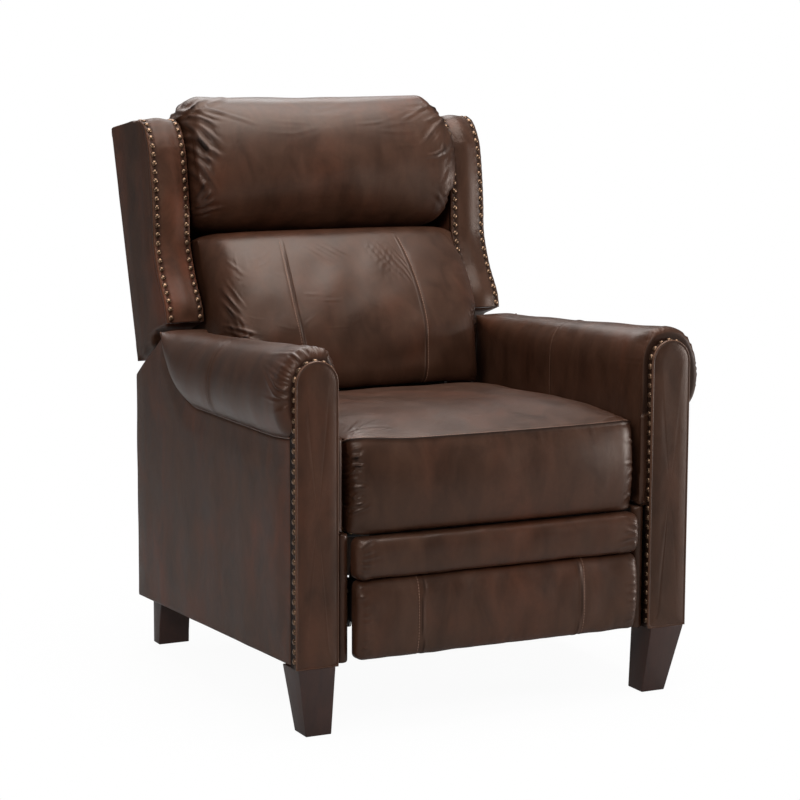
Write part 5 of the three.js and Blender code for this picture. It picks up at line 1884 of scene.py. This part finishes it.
@dataclass
class Seat:
    """The seat cushion over its sprung frame."""

    finishes: Finishes
    half: float = 272.0
    front: float = -12.0
    bow: float = 15.0
    rear: float = 560.0
    low: float = 330.0
    seam: float = 484.0
    top_line: float = 492.0
    crown: float = 10.0
    corner: float = 32.0
    lip_thick: float = 29.7
    under: float = 375.2
    top_shares: tuple = ((0.13, 1.012), (0.28, 1.046), (0.5, 1.034), (0.76, 0.998),
                         (0.88, 0.972), (0.97, 0.92))
    counts: tuple = (26, 70, 12, 44, 8)

    def outline_at(self, x: float) -> np.ndarray:
        """The side outline at a place across the seat.

        Args:
            x: The place.

        Returns:
            (back, up) rows, from the lip's foot over the front and the top to the rear.
        """
        inset, low, seam = 4.0, self.low, self.seam
        across = (x / self.half) ** 2
        front = self.front + self.bow * abs(across) ** 1.5 + inset
        crown = self.crown * (1 - across**3)
        lip_back = self.front + self.lip_thick
        least = lip_back - 5.0
        n_front, n_top, n_rear, n_under, n_lip = self.counts
        face = smooth_line([(min(front + 18, least), low + 2), (min(front + 8, least), low + 9),
                            (front + 1.5, low + 34), (front - 2.5, low + 76),
                            (front - 1, low + 112), (front + 4, seam - 18),
                            (front + 10.5, seam - 5), (front + 14, seam)], n_front)
        top = [(front + 14, seam), (front + 20, seam + 4.0)]
        top += [(self.front + (self.rear - self.front) * back,
                 low + (self.top_line - low) * up + crown - inset) for back, up in self.top_shares]
        top = smooth_line(top, n_top)
        corners = [top[-1], (self.rear - 2, self.under), (lip_back, self.under), (lip_back, low)]
        sides = [np.linspace(a, b, count)[1:] for a, b, count
                 in zip(corners, corners[1:], (n_rear, n_under, n_lip))]
        return np.vstack([face, top[1:], *sides])

    def skin(self) -> Skin:
        """The swollen seat cushion."""
        half, back = self.half - 2.0, 60.0
        rings, sheet = [], []
        for x in end_places(half, self.corner, np.arange(0, 230, 13.2), 9):
            outline = self.outline_at(float(x))
            y, z = outline[:, 0], outline[:, 1]
            short = 1 - float(fullness(half - abs(x), self.corner))
            start = y.min() + back
            y = np.where(y < start, start + (y - y.min() - back) * (1 - 20 * short / back), y)
            z = (z - short * (5 * eased(z, 440, 480) + 9 * eased(z, 484, 500))
                 + 6 * short * (1 - eased(z, 332, 376)))
            z = z + 5 * float(eased(-x, 150, 262)) * eased(z, 440, 480) * (1 - eased(y, 20, 120))
            rings.append(np.column_stack([np.full(len(y), x * (0.994 if x < 0 else 1.0)), y, z]))
            sheet.append(laid_flat(x, outline))
        skin = Skin(np.stack(rings), np.stack(sheet)).capped((0.9, 0.6, 0.25), puff=1.0)
        n_front, n_top = self.counts[:2]
        held = np.ones(skin.rings.shape[:2])
        held[:, 2: n_front + n_top - 8] = 0.0
        held[:, n_front - 1] = 0.9
        return skin.swollen(held, (4, 0.9), 11.0)

    def dressed(self) -> Skin:
        """The seat cushion with its front seam, gathers and wrinkles."""
        skin = self.skin().refined(3, 3)
        rng = np.random.default_rng(SEED + 71)
        n_front, n_top = self.counts[:2]
        ring_steps = np.diff(skin.rings, axis=1, append=skin.rings[:, :1])
        way = np.cumsum(np.linalg.norm(ring_steps, axis=2), axis=1)
        from_seam = way - way[:, (n_front - 1) * 3][:, None]
        row = np.arange(skin.rings.shape[1])[None, :] / 3.0
        shown = (row < n_front + n_top - 6).astype(float)
        groove = -2.8 * bump(from_seam, 0, 2.4) + 1.0 * bump(from_seam, 7.5, 5.0)
        flat = np.stack([skin.sheet[..., 0], from_seam], axis=-1)
        # The groove is kept as a fold, which paints shade into it.
        skin = replace(skin.raised(groove * shown), sheet=flat)
        creases: list[Crease] = []
        for end, count, deepest in ((-1, 16, 1.9), (1, 8, 0.9)):
            for _ in range(count):
                start = (end * rng.uniform(264, 270), rng.uniform(-140, -6))
                angle = rng.uniform(-38, 38) + (180 if end > 0 else 0)
                path = wavy(start, angle, rng.uniform(10, 30), 0, rng)
                creases.append(Crease(path, rng.uniform(2.2, 3.6), rng.uniform(0.5, 1.0) * deepest,
                                      0.6, taper_start=False))
        creases += fans((((-250, 30), (6, 16), (-10, 50), (30, 80), 5, 3.0, 0.9, 12),
                         ((250, 34), (6, 16), (190, 140), (25, 60), 4, 3.0, 0.8, -12),
                         ((60, -6), (150, 1), (-110, -70), (8, 22), 10, 2.4, 0.45, 0)), rng)
        creases += scattered(22, (-240, 240), (25, 330), (-40, 40), (25, 80), 15, (1.6, 3.0),
                             (0.12, 0.32), rng)
        soft = shown * eased(np.abs(from_seam), 4, 22)
        return skin.creased(creases, shown).uneven(120, 1.0, soft, rng)

    def build(self, stitches: Repeat) -> None:
        """Makes the seat and sets it on the carriage.

        Args:
            stitches: The stitch that is repeated.
        """
        skin = self.dressed()
        set_on(skin.mesh_object("seat_leather", self.finishes.leather), "carriage",
               ("seat_cushion",))
        normal = skin.normals()
        line, outward = [], []
        for i in range(12, skin.rings.shape[0] - 12):
            j = int(np.argmin(np.abs(skin.sheet[i, :, 1] - 6.5)))
            line.append(skin.rings[i, j] + normal[i, j] * 0.05)
            outward.append(normal[i, j])
        line, outward = (even(np.array(rows), 300) for rows in (line, outward))
        stitches.along("seat_stitches", [line_on(line, outward)], "carriage", "leather")


# Footrest


@dataclass
class Footrest:
    """The two pads that close the front and open into the footrest."""

    finishes: Finishes
    back: float = 17.7
    front: float = -15.5
    half: float = 267.5
    low: float = 124.5
    high: float = 257.4
    crown: float = 8.0
    seam_across: float = 145.0
    mid_half: float = 269.5
    mid_low: float = 258.6
    mid_high: float = 328.0
    mid_crown: float = 9.0

    def seam_place(self, up: Values) -> Values:
        """How far across the seam stands at a height, as it bows outwards halfway up."""
        share = np.clip((up - self.low) / (self.high - self.low), 0, 1)
        return self.seam_across + 7.0 * np.sin(math.pi * share)

    def pad(self, half: float, low: float, high: float, crown: float, sewn: bool,
            creases: Sequence[Crease], seed: int) -> Skin:
        """One padded panel.

        Args:
            half: Half its width.
            low: Its lower edge.
            high: Its upper edge.
            crown: How far its middle stands out.
            sewn: Whether it has a seam on each side.
            creases: Its creases.
            seed: The seed of its unevenness.

        Returns:
            The pad's skin.
        """
        turn = np.linspace(-math.pi / 2, math.pi / 2, 60)
        tall, deep, centre, corner = (high - low) / 2, 12.0 + crown, (high + low) / 2, 15.0
        face = [(self.front + deep * (1 - math.cos(a) ** 0.8),
                 centre - math.copysign(tall * abs(math.sin(a)) ** 0.7, a)) for a in turn]
        head, foot = (self.back - 0.5, high), (self.back - 0.5, low)
        outline = ringed([head, *face, foot, head], 132)
        places = end_places(half, corner, np.arange(0, half - 18, 4.6), 9)
        skin = cushion(half, corner, places, outline, (self.back - 10, centre))
        skin = skin.capped((0.85, 0.5, 0.2))
        shown = eased(-skin.rings[..., 1], -self.back + 3, -self.back + 12)
        skin = replace(skin, sheet=skin.rings[..., ::2])
        if sewn:
            away = np.abs(skin.sheet[..., 0]) - self.seam_place(skin.sheet[..., 1])
            seam = -1.9 * bump(away, 0, 2.2) + 0.5 * bump(away, 5.5, 3.4)
            # The seam's groove is kept as a fold, which paints shade into it.
            skin = skin.raised(seam * shown)
        rng = np.random.default_rng(seed)
        return skin.creased(creases, shown).uneven(80, 0.8, shown, rng)

    def build(self, stitches: Repeat) -> None:
        """Makes both pads and sets them on their bodies.

        Args:
            stitches: The stitch that is repeated.
        """
        rng = np.random.default_rng(SEED + 83)
        low_creases = fans((((-258, 190), (1, 58), (-20, 20), (8, 20), 9, 2.4, 0.8, 0),
                            ((258, 190), (1, 58), (200, 160), (8, 20), 9, 2.4, 0.8, 0),
                            ((0, 131), (240, 1), (84, 96), (6, 16), 16, 2.6, 0.4, 0)), rng)
        mid_creases = fans((((-260, 292), (2, 22), (-30, 30), (14, 40), 6, 3.0, 1.0, 0),
                            ((260, 292), (2, 22), (210, 150), (14, 44), 6, 3.0, 1.2, 0)), rng)
        skin = self.pad(self.half, self.low, self.high, self.crown, True, low_creases, SEED + 1)
        middle = self.pad(self.mid_half, self.mid_low, self.mid_high, self.mid_crown, False,
                          mid_creases, SEED + 2)
        for pad, body in ((skin, "footrest"), (middle, "mid_footrest")):
            obj = pad.mesh_object(f"{body}_leather", self.finishes.leather)
            set_on(obj, body, (f"{body}_pad",))
        shown = np.nonzero(skin.middle_ring[:, 1] < 4)[0]
        threads = []
        for side in Side:
            seams = [float(self.seam_place(skin.sheet[0, j, 1])) + 5.0 for j in shown]
            lines = [skin_line(skin, side.value * seam, [j], 0.1) for j, seam in zip(shown, seams)]
            threads.append(line_on(*(np.vstack(rows) for rows in zip(*lines))))
        stitches.along("footrest_stitches", threads, "footrest", "leather")


# Wood, steel and the rest of the frame


@dataclass
class Linings:
    """The black cloth that closes the gaps under the seat and behind the footrest's pads."""

    finishes: Finishes

    def curtain(self, ends: Span, y: float, low: float, high: float, seed: int) -> Skin:
        """One hanging strip of cloth.

        Args:
            ends: Where it starts and ends across.
            y: The place of its face from the front.
            low: Its hem.
            high: Its stapled edge.
            seed: The seed of its waves.

        Returns:
            The strip's skin.
        """
        phase = np.random.default_rng(seed).uniform(0, 6, 3)
        path = [(y, high), (y, low), (y + 0.9, low), (y + 0.9, high), (y, high)]
        sections = []
        for x in np.linspace(*ends, 110):
            outline = ringed(path, 48)
            wave = math.sin(x * 0.031 + phase[0]) + 0.6 * math.sin(x * 0.083 + phase[1])
            outline[:, 0] += 1.3 * (wave + 1.6) * (1 - eased(outline[:, 1], low, high))
            sections.append((x, outline))
        return lofted(sections, 0).capped((0.5,))

    def build(self) -> None:
        """Hangs the strips on their bodies."""
        strips = (("seat_curtain", "carriage", (-226.0, 226.0), 31.6, 296.0, 331.4, None),
                  ("footrest_curtain", "mid_footrest", (-226.0, 226.0), 30.5, 238.0, 276.0, None),
                  ("back_curtain", "back", (-279.3, 279.3), -36.5, -150.0, -30.0, leaned))
        for name, body, *sizes, placed in strips:
            skin = self.curtain(*sizes, SEED + len(name))
            set_on(skin.mesh_object(name, self.finishes.cambric, placed), body)


@dataclass
class Carcass:
    """The rigid pieces: legs, rails, boards and the steel of the mechanism."""

    finishes: Finishes

    def build(self) -> None:
        """Rounds the wooden pieces and finishes the steel ones."""
        f = self.finishes
        for body, nodes in frame["record"]["behaviour"]["bodies"].items():
            for node in nodes:
                if "_leg_" in node:
                    softened(node, f"{node}_wood", f.leg_wood, body, 1.6)
                elif node in ("cross_rail", "seat_frame", "footrest_board", "mid_footrest_board"):
                    softened(node, f"{node}_wood", f.frame_wood, body, 1.2, 2)
                elif node == "rear_rail":
                    softened(node, "rear_rail_leather", f.border, body, 3.0)
                else:
                    self.finish(node)

    def finish(self, node: str) -> None:
        """Gives a node of the frame its material.

        Args:
            node: The node's name.
        """
        f = self.finishes
        obj = frame["nodes"][node]
        if node.startswith("arm_frame"):
            material = f.border
        elif node == "back_frame":
            material = f.cambric
        elif node.endswith(("link_left", "link_right")):
            material = f.zinc
        else:
            material = f.steel
        if not obj.material_slots:
            obj.data.materials.append(material)
        for slot in obj.material_slots:
            slot.material = material


# Studio


@dataclass
class Studio:
    """The pale floor, the soft light and the camera at the photograph's angle."""

    place: tuple[float, float, float] = (-1.8839, -3.9077, 1.1189)
    yaw: float = 26.252
    pitch: float = 8.414
    roll: float = 0.196
    lens: float = 107.6
    floor_half: float = 14.0

    def camera(self) -> None:
        """Sets the camera."""
        yaw, pitch, roll = (math.radians(v) for v in (self.yaw, self.pitch, self.roll))
        level = math.cos(pitch)
        look = Vector((math.sin(yaw) * level, math.cos(yaw) * level, -math.sin(pitch)))
        right = Vector((math.cos(yaw), -math.sin(yaw), 0.0))
        up = right.cross(look)
        tilted = right * math.cos(roll) + up * math.sin(roll)
        upright = up * math.cos(roll) - right * math.sin(roll)
        data = bpy.data.cameras.new("camera")
        data.lens = self.lens
        data.sensor_width = 36.0
        data.clip_end = 60.0
        obj = in_scene("camera", data)
        basis = Matrix((tilted, upright, -look)).transposed().to_4x4()
        obj.matrix_world = Matrix.Translation(Vector(self.place)) @ basis
        bpy.context.scene.camera = obj

    def floor(self) -> None:
        """Lays the floor, which shows white and keeps a faint shadow."""
        mesh, s = bpy.data.meshes.new("floor"), self.floor_half
        mesh.from_pydata([(-s, -s, 0), (s, -s, 0), (s, s, 0), (-s, s, 0)], [], [(0, 1, 2, 3)])
        material = bpy.data.materials.new("floor")
        material.use_nodes = True
        n = Nodes(material.node_tree)
        out, matt = n.add("ShaderNodeOutputMaterial"), n.add("ShaderNodeBsdfDiffuse")
        white = n.settle(n.add("ShaderNodeEmission"), {"Strength": 1.0})
        path = n.add("ShaderNodeLightPath").outputs
        n.link(n.ranged(path["Is Camera Ray"], 0.0, 1.0, 0.5, 0.95), matt.inputs["Color"])
        away = n.settle(n.add("ShaderNodeVectorMath", operation="LENGTH"),
                        {0: n.add("ShaderNodeTexCoord").outputs["Object"]})
        share = n.ranged(away.outputs["Value"], 0.35, 0.9, 0.955, 1.0)
        mirrored = n.sum(path["Is Glossy Ray"], 0.14, "MULTIPLY")
        seen = n.sum(n.sum(path["Is Camera Ray"], mirrored, "MAXIMUM"), share, "MULTIPLY")
        mix = n.settle(n.add("ShaderNodeMixShader"), {0: seen})
        n.joined((matt, 0, mix, 1), (white, 0, mix, 2), (mix, 0, out, "Surface"))
        mesh.materials.append(material)
        in_scene("floor", mesh)

    def world(self) -> None:
        """Lights the room evenly and shows white behind the chair."""
        world = bpy.data.worlds.new("room")
        bpy.context.scene.world = world
        world.use_nodes = True
        n = Nodes(world.node_tree)
        split = n.settle(n.add("ShaderNodeSeparateXYZ"),
                         {0: n.add("ShaderNodeTexCoord").outputs["Generated"]})
        soft = n.settle(n.add("ShaderNodeBackground"), {
            "Color": (1.0, 0.985, 0.97, 1.0),
            "Strength": n.ranged(split.outputs["Z"], 0.0, 0.9, 0.06, 0.34)})
        white = n.settle(n.add("ShaderNodeBackground"),
                         {"Color": (1.0, 1.0, 1.0, 1.0), "Strength": 1.0})
        path = n.add("ShaderNodeLightPath").outputs
        seen = n.sum(path["Is Camera Ray"], path["Is Transmission Ray"], "MAXIMUM")
        seen = n.sum(seen, n.sum(path["Is Glossy Ray"], 0.05, "MULTIPLY"), "MAXIMUM")
        mix = n.settle(n.add("ShaderNodeMixShader"), {0: seen})
        n.joined((soft, 0, mix, 1), (white, 0, mix, 2),
                 (mix, 0, n.add("ShaderNodeOutputWorld"), "Surface"))

    def lamp(self, name: str, place: Sequence[float], target: Sequence[float], size: Span,
             power: float) -> None:
        """Hangs one soft box.

        Args:
            name: Its name.
            place: Where it hangs.
            target: What it faces.
            size: Its width and height.
            power: Its power in watts.
        """
        data = bpy.data.lights.new(name, "AREA")
        data.shape = "RECTANGLE"
        data.size, data.size_y = size
        data.energy = power
        obj = in_scene(name, data)
        obj.location = place
        obj.rotation_euler = (Vector(target) - Vector(place)).to_track_quat("-Z", "Y").to_euler()

    def build(self) -> None:
        """Sets everything up."""
        self.camera()
        self.floor()
        self.world()
        self.lamp("key_box", (-2.3, -2.3, 2.4), (0.0, -0.1, 0.6), (1.2, 1.0), 42.0)
        self.lamp("top_box", (0.2, -0.1, 2.7), (0.0, -0.1, 0.5), (2.2, 1.5), 60.0)
        self.lamp("rear_box", (0.2, 1.9, 2.3), (0.0, 0.0, 0.6), (2.0, 1.0), 23.0)
        self.lamp("right_box", (3.4, -1.8, 0.8), (0.0, 0.0, 0.5), (1.0, 1.2), 64.0)
        bpy.context.scene.view_settings.view_transform = "Standard"


def main() -> None:
    """Builds the chair's looks in order."""
    logging.basicConfig(level=logging.INFO, format="%(name)s: %(message)s")
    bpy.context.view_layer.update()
    Studio().build()
    finishes = Finishes()
    nails = Repeat("set_nails", finishes.brass, (5.6, 5.6, 3.4), 16.3, 0.03)
    stitches = Repeat("sew_stitches", finishes.thread, (1.9, 0.68, 0.6), 5.0, 0.06)
    Arms(finishes).build(nails, stitches)
    Back(finishes).build(nails, stitches)
    Seat(finishes).build(stitches)
    Footrest(finishes).build(stitches)
    Linings(finishes).build()
    Carcass(finishes).build()


if __name__ == "__main__":
    main()
